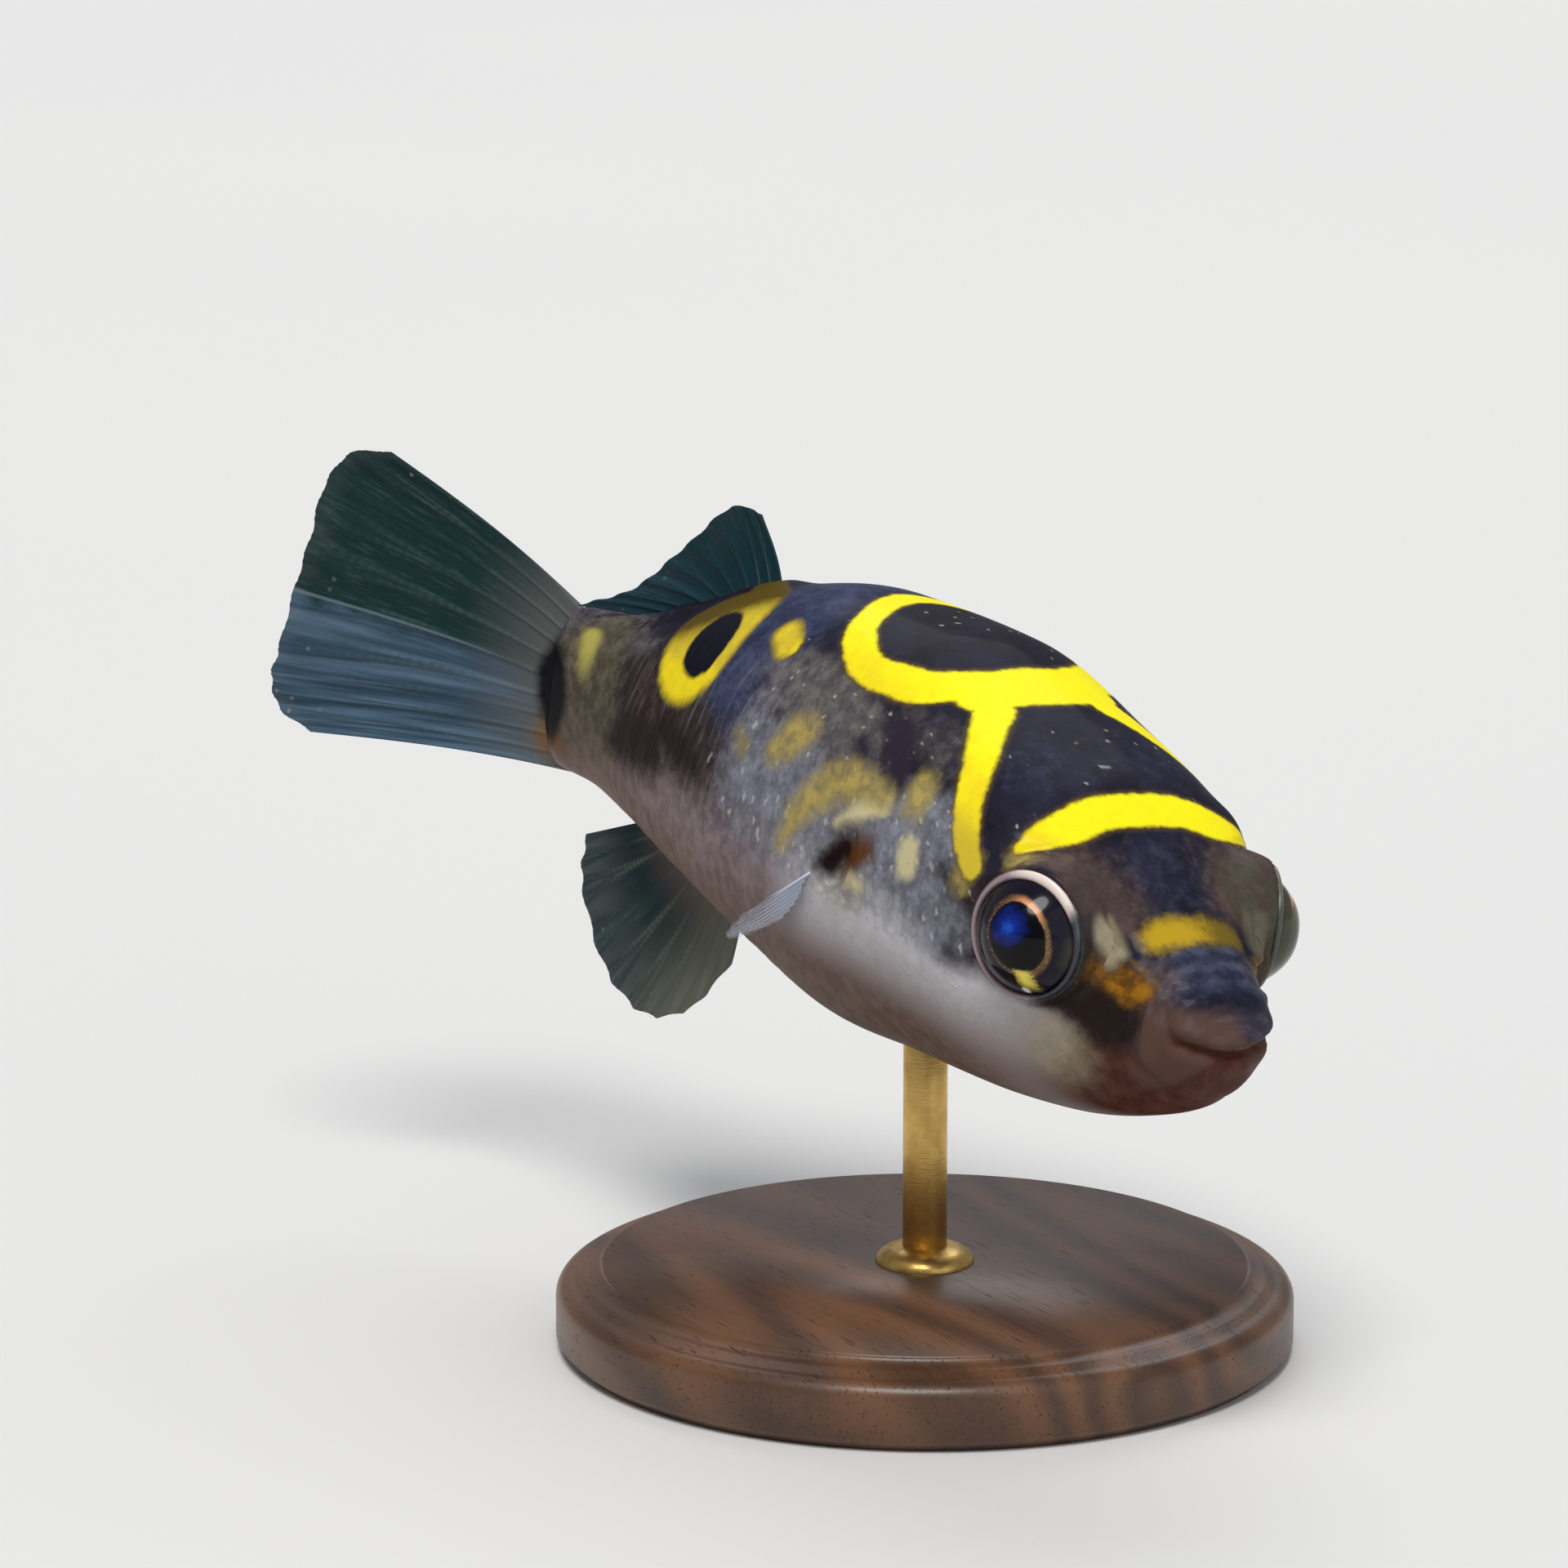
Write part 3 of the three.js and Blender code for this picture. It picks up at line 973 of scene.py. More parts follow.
WASHES = (
    Wash(Tint.BLUE, 37.0, 24, 3.0, 6.5),
    Wash(Tint.BLUE, 38.0, 52, 1.6, 2.4, 0.6),
    Wash(Tint.BLUE, 7.8, 0, 2.0, 2.6, 0.4),
    Wash(Tint.BLUE, 15.5, 20, 2.5, 4.0, 0.35),
    Wash(Tint.MAUVE, 9.0, 46, 1.8, 2.0, 0.8),
    Wash(Tint.MAUVE, 9.5, 22, 1.6, 2.2, 0.3),
    Wash(Tint.MAUVE, 7.0, 38, 1.2, 2.0, 0.6),
    Wash(Tint.BLUE, 2.6, 22, 1.4, 3.0, 0.6),
    Wash(Tint.MAUVE, 3.0, 52, 1.1, 1.4, 0.7),
    Wash(Tint.MAUVE, 15.5, 58, 2.4, 1.2, 0.3),
    Wash(Tint.GREY, 30.0, 50, 4.6, 2.0, 0.9),
    Wash(Tint.GREY, 26.5, 55, 3.0, 1.2, 0.5),
    Wash(Tint.GREY, 20.0, 38, 2.4, 1.8, 0.5),
    Wash(Tint.GREY, 50.5, 54, 2.6, 1.6, 0.9),
    Wash(Tint.BROWN, 47.0, 88, 5.2, 2.4),
    Wash(Tint.BROWN, 40.5, 82, 4.6, 1.8),
    Wash(Tint.BROWN, 46.5, 70, 4.4, 2.0, 0.75),
    Wash(Tint.CHEEK, 7.6, 83, 3.0, 1.7),
    Wash(Tint.CHEEK, 11.4, 78, 1.8, 1.8, 0.8),
    Wash(Tint.CHEEK, 4.6, 92, 1.3, 1.3, 0.8),
    Wash(Tint.TAN, 53.4, 82, 2.6, 5.0),
    Wash(Tint.TAN, 55.0, 120, 3.5, 3.5, 0.8),
    Wash(Tint.LILAC, 18.2, 77, 3.4, 2.8),
    Wash(Tint.LILAC, 14.3, 85, 1.7, 1.0, 0.6),
    Wash(Tint.LILAC, 16.6, 62, 1.6, 1.8, 0.7),
    Wash(Tint.LILAC, 28.9, 83, 4.8, 1.9),
    Wash(Tint.LILAC, 30.8, 73, 3.0, 1.8, 0.7),
    Wash(Tint.LILAC, 25.0, 86, 3.0, 1.3, 0.9),
    Wash(Tint.LILAC, 34.3, 56, 0.9, 3.0, 0.3),
    Wash(Tint.PINK, 40.0, 100, 7.0, 2.4, 0.9),
    Wash(Tint.PINK, 44.0, 125, 6.0, 3.0, 0.8),
    Wash(Tint.PINK, 33.5, 106, 5.0, 4.5, 0.9),
    Wash(Tint.STRAW, 7.3, 113, 1.7, 2.0, 0.6),
    Wash(Tint.STRAW, 22.4, 88, 2.0, 0.9, 0.8),
    Wash(Tint.STRAW, 13.5, 82, 1.6, 1.0, 0.4),
    # Painted shade darkening the underside, with some brown colour.
    Wash(Tint.SHADE, 18.0, 142, 9.5, 5.4),
    Wash(Tint.SHADE, 33.0, 142, 9.0, 4.6),
    Wash(Tint.SHADE, 45.0, 150, 5.0, 3.5),
    Wash(Tint.SHADE, 55.0, 130, 5.0, 4.5, 0.9),
    # The chin's red-brown, deepened by painted shade; the last one also darkens the underside behind.
    Wash(Tint.RUST_AND_SHADE, 0.6, 160, 5.0, 8.5),
    Wash(Tint.RUST_AND_SHADE, 5.4, 130, 2.6, 3.0, 0.6),
    Wash(Tint.RUST_AND_SHADE, 38.5, 180, 4.0, 4.0, 0.7),
)

BELLY_EDGE = Profile(
    [0, 5, 7, 9.3, 11, 13, 15, 19, 24, 28, 31, 36, 42, 46, 50, 54, 58],
    [105, 106, 98, 91, 93, 93, 91, 88, 89, 90, 91, 91, 91, 96, 105, 118, 126],
)


# ---------------------------------------------------------------- relief of the skin


@dataclass(frozen=True)
class Bead:
    """A ridge, or where height is below 0 a groove, along a smooth line on the chart of both flanks."""

    places: tuple[tuple[float, float], ...]
    height: float
    width: float
    reach: float = 4.0

    def over(self, points: Numbers) -> Numbers:
        """How far the ridge lifts each point, folded onto the left flank, in millimetres.

        Args:
            points: Points on the left flank of the straight fish.

        Returns:
            The lifts.
        """
        stroke = Stroke(Mark.INK, tuple((at, turn, 0.0) for at, turn in self.places), spacing=0.08)
        middle, half = stroke.samples()
        middle = FISH.set_in_eyes(middle)
        away = edge_distance(points, middle, half, reach=self.reach * self.width)
        return self.height * (bump(away, self.width) - bump(np.array(self.reach), 1.0))


BEADS = (
    # the crease round the lips, from the top of the snout down past the mouth's corner
    Bead(
        ((1.45, 0), (1.5, 16), (1.85, 38), (2.45, 54), (3.0, 67), (3.25, 82), (3.25, 97), (3.0, 112)),
        -0.13,
        0.28,
    ),
    # the soft fold of cheek between that crease and the mouth's corner, and its inner edge
    Bead(((2.5, 66), (2.65, 80), (2.6, 95), (2.4, 110)), 0.16, 0.26),
    Bead(((2.0, 66), (1.75, 78), (1.45, 90)), -0.1, 0.14),
    # the fold between lower lip and chin
    Bead(((1.6, 180), (1.7, 155), (2.0, 132), (2.6, 118)), -0.12, 0.3),
    # faint wrinkles over the snout
    Bead(((2.3, 0), (2.4, 24), (2.9, 44), (3.6, 60)), -0.04, 0.2),
    Bead(((3.2, 0), (3.3, 26), (3.8, 44)), -0.025, 0.25),
    # the small lobe beside the nostril
    Bead(((4.75, 57), (4.5, 62)), 0.22, 0.3),
    # the gill opening, its flap ahead and its rims
    Bead(((23.2, 80), (23.7, 84.5), (23.9, 89)), -0.6, 0.5),
    Bead(((22.3, 80.5), (21.2, 81)), -0.22, 0.7),
    Bead(((24.0, 79), (22.6, 74.5), (20.6, 70.5)), 0.22, 0.25),
    Bead(((23.6, 75.5), (22.2, 71.5), (20.6, 67.5)), -0.14, 0.16),
    Bead(((23.0, 93.5), (21.6, 89), (20.6, 85)), 0.15, 0.35),
    # the flesh that swells round the roots of the fins
    Bead(((42.6, 0), (46.2, 0), (50.0, 0)), 0.35, 0.9),
    Bead(((41.6, 180), (44.4, 180), (48.0, 180)), 0.35, 0.9),
    Bead(((24.7, 84), (25.3, 92)), 0.3, 0.45),
    # the brow over each eye
    Bead(((13.2, 46), (11.2, 42), (9.2, 40), (7.4, 44)), 0.2, 0.8),
)


@dataclass(frozen=True)
class Nostril:
    """The nostril's papilla on each side of the snout: a soft blunt lobe, and a lower one beside it."""

    lobes: tuple[Stroke, Stroke] = (
        Stroke(Mark.NOSTRIL, ((7.3, 59.5, 0.6), (6.5, 60.5, 0.74), (5.65, 64.0, 0.64)), spacing=0.05),
        Stroke(Mark.NOSTRIL, ((6.9, 48.5, 0.44), (6.2, 51.5, 0.54), (5.3, 56.0, 0.44)), spacing=0.05),
    )
    heights: tuple[float, float] = (0.66, 0.4)
    edge: float = 0.24
    crown: float = -0.42

    def over(self, points: Numbers) -> Numbers:
        """How far the lobes lift each point, folded onto the left flank, in millimetres."""
        lifts = [
            height * ease(edge_distance(points, *lobe.samples()), self.edge, self.crown)
            for lobe, height in zip(self.lobes, self.heights)
        ]
        return np.maximum(*lifts)


@dataclass(frozen=True)
class Mouth:
    """The mouth's slit, which turns up at its corners, and its two rolled lips, on the straight fish."""

    height: float = -0.6
    lift: float = 0.055
    slit: float = 0.42
    slit_width: float = 0.19
    roll: float = 0.2
    roll_width: float = 0.42
    roll_offset: float = 0.72
    lower_share: float = 0.8
    corner: tuple[float, float] = (1.75, 0.9)

    def off(self, points: Numbers) -> Numbers:
        """How far above the mouth's line each point lies."""
        return points[:, 2] - (self.height + self.lift * points[:, 1] ** 2)

    def near(self, points: Numbers) -> Numbers:
        """1 at the mouth, 0 behind its corners."""
        return ease(-points[:, 0], *self.corner)

    def over(self, points: Numbers) -> Numbers:
        """How far the lips lift each point, in millimetres.

        Args:
            points: Points on the straight fish.

        Returns:
            The lifts, below 0 in the slit.
        """
        off = self.off(points)
        upper, lower = (bump(off - way * self.roll_offset, self.roll_width) for way in (1, -1))
        rolls = upper + self.lower_share * lower
        return self.near(points) * (self.roll * rolls - self.slit * bump(off, self.slit_width))


@dataclass(frozen=True)
class Folds:
    """Fine upright wrinkles where the flank bends, which fade towards the back and the belly."""

    height: float = 0.042
    spacing: float = 1.05
    unevenness: float = 1.73
    start: tuple[float, float] = (28.0, 34.0)
    end: tuple[float, float] = (53.0, 46.0)
    top: tuple[float, float] = (38.0, 62.0)
    bottom: tuple[float, float] = (165.0, 120.0)

    def share(self, at: Numbers, turn: Numbers) -> Numbers:
        """Where the wrinkles are, from 0 to 1."""
        return ease(at, *self.start) * ease(at, *self.end) * ease(turn, *self.top) * ease(turn, *self.bottom)

    def over(self, at: Numbers, turn: Numbers) -> Numbers:
        """How far the wrinkles lift each point, in millimetres.

        Args:
            at: Distances behind the snout, in millimetres.
            turn: Turns from the back, in degrees.

        Returns:
            The lifts.
        """
        lean = at + 1.3 * np.cos(np.radians(turn) * 1.6) + 0.35 * np.sin(turn * 0.11 + at * 0.6)
        beat = math.tau * lean / self.spacing
        wave = np.sin(beat) + 0.5 * np.sin(beat / self.unevenness + 1.0)
        return self.height * self.share(at, turn) * wave


# ---------------------------------------------------------------- finishes


@dataclass(frozen=True)
class SkinField:
    """The places and noises that the skin's nodes share."""

    straight: Term
    chart: Term
    at: Term
    turn: Term
    left: Term
    up: Term
    clouds: Term
    mottle: Term
    grain: Term
    ragged: Term
    streaks: Term

    @classmethod
    def of(cls, s: Shader) -> "SkinField":
        """Adds the shared nodes.

        Args:
            s: The skin's nodes.

        Returns:
            Their outputs.
        """
        straight, chart = s.vector("straight"), s.vector("chart")
        at, _, turn = s.parts(chart)
        _, left, up = s.parts(straight)
        return cls(
            straight=straight,
            chart=chart,
            at=at,
            turn=turn,
            left=left,
            up=up,
            clouds=s.noise(straight, 0.35, 3.0),
            mottle=s.noise(straight, 1.1, 4.0, 0.6),
            grain=s.noise(straight, 5.0, 3.0, 0.6),
            ragged=(s.noise(straight, 1.7, 3.0, 0.6) - 0.5) * 0.5,
            streaks=s.noise(s.stretched(straight, (1.6, 0.14, 0.14)), 1.0, 3.0, 0.6),
        )


@dataclass(frozen=True)
class SkinFinish:
    """Moist puffer skin: dark slate above, yellow bands, mottled flanks and a pale belly."""

    slate: Colour = srgb(34, 33, 49)
    slate_dark: Colour = srgb(22, 20, 30)
    slate_brown: Colour = srgb(48, 39, 43)
    flank: Colour = srgb(96, 92, 98)
    flank_dark: Colour = srgb(54, 48, 56)
    fold_pale: Colour = srgb(134, 132, 142)
    net: Colour = srgb(80, 77, 86)
    reticle: Colour = srgb(170, 174, 186)
    belly: Colour = srgb(194, 194, 198)
    belly_grey: Colour = srgb(168, 165, 174)
    speck: Colour = srgb(196, 190, 174)
    yellow: Colour = srgb(246, 234, 26)
    yellow_deep: Colour = srgb(236, 212, 32)
    gold: Colour = srgb(204, 180, 50)
    olive_shade: Colour = srgb(84, 68, 14)
    fringe: Colour = srgb(96, 76, 30)
    ochre: Colour = srgb(176, 156, 86)
    ochre_dull: Colour = srgb(132, 118, 74)
    snout_line: Colour = srgb(116, 118, 136)
    snout_bar: Colour = srgb(184, 152, 28)
    snout_bar_dull: Colour = srgb(112, 92, 26)
    snout_patch: Colour = srgb(156, 106, 24)
    snout_patch_dull: Colour = srgb(98, 66, 18)
    tail_yellow: Colour = srgb(176, 166, 84)
    tail_rust: Colour = srgb(104, 74, 34)
    nostril: Colour = srgb(152, 144, 120)
    nostril_dull: Colour = srgb(126, 118, 92)
    ink: Colour = srgb(18, 17, 29)
    tail_ink: Colour = srgb(14, 11, 16)
    lip: Colour = srgb(86, 63, 54)
    # The next two are the lips' painted blue reflection and painted highlight.
    lip_blue_reflection: Colour = srgb(52, 49, 64)
    lip_sheen: Colour = srgb(112, 104, 112)
    slit: Colour = srgb(66, 28, 17)
    lid: Colour = srgb(76, 74, 62)
    lid_brown: Colour = srgb(66, 54, 50)
    tints: tuple[tuple[Tint, Colour, Colour], ...] = (
        (Tint.BLUE, srgb(42, 46, 70), srgb(62, 70, 100)),
        (Tint.MAUVE, srgb(66, 54, 54), srgb(92, 76, 68)),
        (Tint.GREY, srgb(78, 74, 78), srgb(110, 106, 102)),
        (Tint.BROWN, srgb(40, 30, 27), srgb(66, 53, 48)),
        (Tint.CHEEK, srgb(24, 17, 16), srgb(48, 36, 34)),
        (Tint.TAN, srgb(70, 62, 52), srgb(98, 92, 76)),
        (Tint.LILAC, srgb(98, 99, 108), srgb(134, 137, 147)),
    )
    under_tints: tuple[tuple[Tint, Colour, Colour], ...] = (
        (Tint.PINK, srgb(110, 94, 96), srgb(138, 124, 128)),
        # The next two: painted shade with some brown colour, and red-brown deepened by painted shade.
        (Tint.SHADE, srgb(98, 78, 68), srgb(118, 98, 88)),
        (Tint.RUST_AND_SHADE, srgb(68, 37, 29), srgb(86, 52, 43)),
        (Tint.STRAW, srgb(146, 137, 114), srgb(164, 156, 132)),
    )
    marks: tuple[tuple[Mark, Colour, float, float], ...] = (
        (Mark.PLUM, srgb(44, 36, 48), 1.8, 0.7),
        (Mark.UMBER, srgb(32, 22, 17), 2.4, 1.0),
        (Mark.SIENNA, srgb(88, 52, 22), 1.4, 0.8),
        (Mark.GILL, srgb(28, 14, 14), 0.9, 0.42),
        (Mark.CREAM, srgb(192, 182, 142), 1.4, 0.42),
    )

    def material(self) -> bpy.types.Material:
        """Builds the skin's nodes.

        Returns:
            The material.
        """
        s = Shader("moist_puffer_skin")
        f = SkinField.of(s)
        soft = f.at.rise(11.0, 30.0)
        edge = s.value("belly") + f.ragged * (1 + 3 * soft)
        under = (edge / (0.6 + 1.25 * soft)).rise(-0.9, 0.9)
        ground = s.mix(under, self.upper(s, f), self.belly_shades(s, f))
        for layer in (self.dotted, self.banded, self.tail_marked, self.face_marked):
            ground = layer(s, f, ground)
        prickles, _ = s.cells(f.straight, 1.9)
        height = prickles.rise(0.34, 0.0) * 0.55 + f.grain * 0.5
        rough = 0.44 + 0.2 * f.mottle + 0.1 * f.grain
        return s.finish(
            {"IOR": 1.4, "Coat Weight": 0.07, "Coat Roughness": 0.12, "Specular IOR Level": 0.06},
            {"Base Color": ground, "Roughness": rough, "Normal": s.relief(height, 0.045)},
        )

    def upper(self, s: Shader, f: SkinField) -> Term:
        """Mixes the ground of back and flanks, before dots and markings.

        Args:
            s: The skin's nodes.
            f: Their shared places and noises.

        Returns:
            The colour.
        """
        fine = s.noise(f.straight, 3.2, 3.0, 0.65)
        back = s.mix(f.clouds.rise(0.3, 0.7), self.slate_dark, self.slate)
        back = s.mix(f.mottle.rise(0.5, 0.75) * 0.6, back, self.slate_brown)
        side = s.mix((f.mottle * 0.7 + fine * 0.3).rise(0.36, 0.64), self.flank_dark, self.flank)
        ground = s.mix((s.value("flank") + (f.mottle - 0.5) * 0.7).rise(0.25, 0.8), back, side)
        for tint, dark, light in self.tints:
            share = (s.value(tint.value) + (f.mottle - 0.5) * 0.5).rise(0.12, 0.85)
            tone = s.mix((fine * 0.25 + f.mottle * 0.5 + f.clouds * 0.25).rise(0.4, 0.62), dark, light)
            ground = s.mix(share * 0.92, ground, tone)
        return self.lined(s, f, ground)

    def lined(self, s: Shader, f: SkinField, ground: Term) -> Term:
        """Lays pale lines along the folds and soft streaks over the snout.

        Args:
            s: The skin's nodes.
            f: Their shared places and noises.
            ground: The colour so far.

        Returns:
            The colour with its lines.
        """
        wander = s.noise(s.stretched(f.straight, (0.12, 0.2, 0.2)), 1.0, 1.0)
        wave = ((f.at + (f.turn * 0.028).cosine() * 1.3 + wander * 2.0) * 7.4).sine()
        lines = wave.rise(0.3, 1.0) * s.value("folds") * f.streaks.rise(0.42, 0.62)
        ground = s.mix(lines * 0.24, ground, self.fold_pale)
        snout = f.at.rise(1.3, 1.9) * f.at.rise(4.4, 3.7) * f.turn.rise(68.0, 54.0)
        across = ((f.at + wander * 1.6) * 6.0).sine().rise(-0.9, 1.0)
        return s.mix(across * snout * f.mottle.rise(0.25, 0.6) * 0.17, ground, self.snout_line)

    def belly_shades(self, s: Shader, f: SkinField) -> Term:
        """Mixes the ground of the belly, pinkish behind and red-brown on the chin, with painted shade
        underneath.

        Args:
            s: The skin's nodes.
            f: Their shared places and noises.

        Returns:
            The colour.
        """
        pale = s.mix(f.mottle.rise(0.2, 0.9) * 0.5, self.belly, self.belly_grey)
        for tint, dark, light in self.under_tints:
            share = (s.value(tint.value) + (f.mottle - 0.5) * 0.15).rise(-0.02, 1.0)
            pale = s.mix(share, pale, s.mix(f.mottle.rise(0.3, 0.7), dark, light))
        return s.mix(f.streaks.rise(0.5, 0.72) * s.value("folds") * 0.25, pale, self.fold_pale)

    def dotted(self, s: Shader, f: SkinField, ground: Term) -> Term:
        """Lays small pale dots, closer on the cheek and round the gills, over a faint dark net.

        Args:
            s: The skin's nodes.
            f: Their shared places and noises.
            ground: The colour so far.

        Returns:
            The colour with its dots.
        """
        place = s.stretched(f.chart, (0.75, 1.0, 0.0))
        noise = {"Vector": f.chart, "Scale": 0.6, "Detail": 1.0}
        shaken = s.node("ShaderNodeTexNoise", {}, noise, "Color")
        added = {0: shaken, 1: (0.35, 0.35, 0.0), 2: place}
        shift = s.node("ShaderNodeVectorMath", {"operation": "MULTIPLY_ADD"}, added)
        shown = s.value("speckled").rise(0.0, 0.3)
        grown = s.value(Tint.LILAC.value).high(0.0).low(1.0)
        dark, _ = s.cells(shift, 1.9, flat=True)
        net = (dark + (f.mottle - 0.5) * 0.5).rise(0.3, 0.62) * grown
        ground = s.mix(net * shown * 0.28, ground, self.net)
        near, chance = s.cells(shift, 1.25, flat=True)
        radius = 0.06 + 0.08 * chance + 0.1 * grown * f.mottle
        filled = ((radius - near) / 0.12).rise(-0.4, 1.0)
        kept = (chance + grown * 0.33 + s.value("speckled") * 0.22).rise(0.91, 0.98)
        pale = s.mix(grown * f.mottle.rise(0.4, 0.6), self.speck, self.reticle)
        return s.mix(filled * kept * shown * 0.56, ground, pale)

    def banded(self, s: Shader, f: SkinField, ground: Term) -> Term:
        """Lays the blotches, the yellow bands with their brown fringe, and the ringed spot's dark middle.

        Args:
            s: The skin's nodes.
            f: Their shared places and noises.
            ground: The colour so far.

        Returns:
            The colour with its markings.
        """
        for mark, colour, wobble, blur in self.marks:
            ground = s.mix(self.inside(s, mark, f.ragged * wobble, blur), ground, colour)
        rear = f.at.rise(12.0, 16.0)
        share = self.inside(s, Mark.OCHRE, f.ragged * 1.9, 0.55 + rear * 0.15)
        share = share * (0.94 - f.mottle.rise(0.5, 0.75) * rear * 0.15)
        ground = s.mix(share, ground, self.ochre_tone(s, f))
        ground = s.mix(self.inside(s, Mark.YELLOW, f.ragged * 0.7 - 0.2, 0.22) * 0.7, ground, self.fringe)
        behind = f.at.rise(34.0, 34.8)
        share = self.inside(s, Mark.YELLOW, f.ragged * 0.7 + 0.02 + behind * 0.05, 0.16 + behind * 0.3)
        ground = s.mix(share, ground, self.yellow_tone(s, f, behind))
        return s.mix(self.inside(s, Mark.INK, f.ragged * 0.8, 0.2), ground, self.ink)

    def ochre_tone(self, s: Shader, f: SkinField) -> Term:
        """Mixes the ochre of the blotches, and of the bar and patch on the snout.

        Args:
            s: The skin's nodes.
            f: Their shared places and noises.

        Returns:
            The colour.
        """
        ochre = s.mix((f.mottle + f.at.rise(30.0, 36.0) * 0.3).rise(0.35, 0.7), self.ochre, self.ochre_dull)
        # The snout bar is duller on the left flank, painted shade there, and in random patches.
        left_shade_and_mottle = (f.left * 0.45 + (f.mottle - 0.5) * 1.4).rise(-0.35, 0.75)
        bar = s.mix(left_shade_and_mottle, self.snout_bar, self.snout_bar_dull)
        patch = s.mix(f.mottle.rise(0.4, 0.65), self.snout_patch, self.snout_patch_dull)
        return s.mix(f.at.rise(9.0, 8.0), ochre, s.mix(f.turn.rise(40.0, 60.0), bar, patch))

    def yellow_tone(self, s: Shader, f: SkinField, behind: Term) -> Term:
        """Mixes the yellow of the bands, duller low down, with painted olive shade on the ringed spot.

        Args:
            s: The skin's nodes.
            f: Their shared places and noises.
            behind: 1 on the ringed spot and the spot ahead of it, 0 on the bands before them.

        Returns:
            The colour.
        """
        deep = (f.turn.rise(22.0, 44.0) * 0.6 + (f.mottle - 0.5) * 1.2).rise(0.0, 0.8)
        bright = s.mix(deep, self.yellow, self.yellow_deep)
        low = (f.turn.rise(46.0, 60.0) + (f.mottle - 0.5) * 0.3) * f.at.rise(20.0, 17.0)
        bright = s.mix(low, bright, self.gold)
        ring = s.mix((f.mottle + f.turn.rise(48.0, 62.0) * 0.5).rise(0.4, 0.9), self.gold, self.yellow_deep)
        # Painted shade: the ringed spot turns olive on its upper part, reaching lower towards the rear.
        shaded = f.turn.rise(54.0, 26.0) * f.at.rise(40.0, 46.0) + f.turn.rise(38.0, 8.0)
        shaded = (shaded + (f.mottle - 0.3) * 0.5).rise(0.08, 0.9)
        ring = s.mix(shaded * f.at.rise(36.5, 38.5), ring, self.olive_shade)
        return s.mix(behind, bright, ring)

    def tail_marked(self, s: Shader, f: SkinField, ground: Term) -> Term:
        """Lays the tail's dark spot, with its yellow and rusty edges.

        Args:
            s: The skin's nodes.
            f: Their shared places and noises.
            ground: The colour so far.

        Returns:
            The colour with the tail's markings.
        """
        edging = s.mix(f.turn.rise(70.0, 110.0), self.tail_yellow, self.tail_rust)
        edge = (s.value("tail_edge") + (f.mottle - 0.5) * 0.3).rise(0.05, 0.95)
        ground = s.mix(edge * 0.9, ground, edging)
        spot = (s.value("tail_spot") + f.ragged * 1.1).rise(0.5, -0.4)
        return s.mix(spot, ground, self.tail_ink)

    def face_marked(self, s: Shader, f: SkinField, ground: Term) -> Term:
        """Lays the lips, the mouth's slit, the lids, the rims round the eyes and the nostrils.

        Args:
            s: The skin's nodes.
            f: Their shared places and noises.
            ground: The colour so far.

        Returns:
            The finished colour.
        """
        # Painted reflection: the lips turn blue-grey on the left flank and towards their top; then a painted
        # highlight streaks the upper lip's wrinkles.
        far = f.left.rise(-0.8, 1.8) * f.up.rise(-0.7, 0.5) + f.up.rise(0.0, 1.6) * 0.35
        lips = s.mix((far + (f.mottle - 0.5) * 0.8).rise(0.05, 1.05), self.lip, self.lip_blue_reflection)
        wrinkled = s.noise(s.stretched(f.straight, (2.4, 0.5, 1.2)), 1.0, 3.0)
        lips = s.mix(wrinkled.rise(0.4, 0.8) * f.up.rise(-0.6, 1.2) * 0.5, lips, self.lip_sheen)
        share = (s.value(Tint.LIPS.value) + (f.mottle - 0.5) * 0.4).rise(0.15, 0.85)
        ground = s.mix(share, ground, lips)
        ground = s.mix(s.value("slit") * 0.9, ground, self.slit)
        # The lids' olive-brown, laid stronger on the left flank as a painted olive sheen.
        lid = s.mix(f.mottle.rise(0.35, 0.65), self.lid, self.lid_brown)
        share = (s.value(Tint.LID.value) + (f.mottle - 0.5) * 0.5).rise(0.1, 1.0)
        ground = s.mix(share * 0.85, ground, lid)
        # The rim's colours, with their painted highlight and reflection, run onto the skin round the eye.
        ground = s.mix(s.length(s.vector("eye")).rise(3.8, 3.64), ground, RimFinish().colour(s))
        share = (f.turn.rise(57.0, 50.0) + f.mottle.rise(0.4, 0.7) * 0.5).low(1.0)
        nostril = s.mix(share, self.nostril, self.nostril_dull)
        # Painted shade: the left nostril is dulled towards the lids' olive.
        nostril = s.mix(f.left.rise(-0.5, 0.5) * 0.8, nostril, self.lid)
        share = self.inside(s, Mark.NOSTRIL, f.ragged * 0.3 + 0.08, 0.26)
        return s.mix(share * 0.88, ground, nostril)

    @staticmethod
    def inside(s: Shader, mark: Mark, shift: Term, blur: float | Term) -> Term:
        """Where a marking is, with its edge moved and softened.

        Args:
            s: The skin's nodes.
            mark: The marking.
            shift: How far its edge is moved inwards, in millimetres.
            blur: How far its edge is softened, in millimetres.

        Returns:
            The share, from 0 outside to 1 inside.
        """
        return ((s.value(mark.value) + shift) / blur).rise(1.0, -1.0)


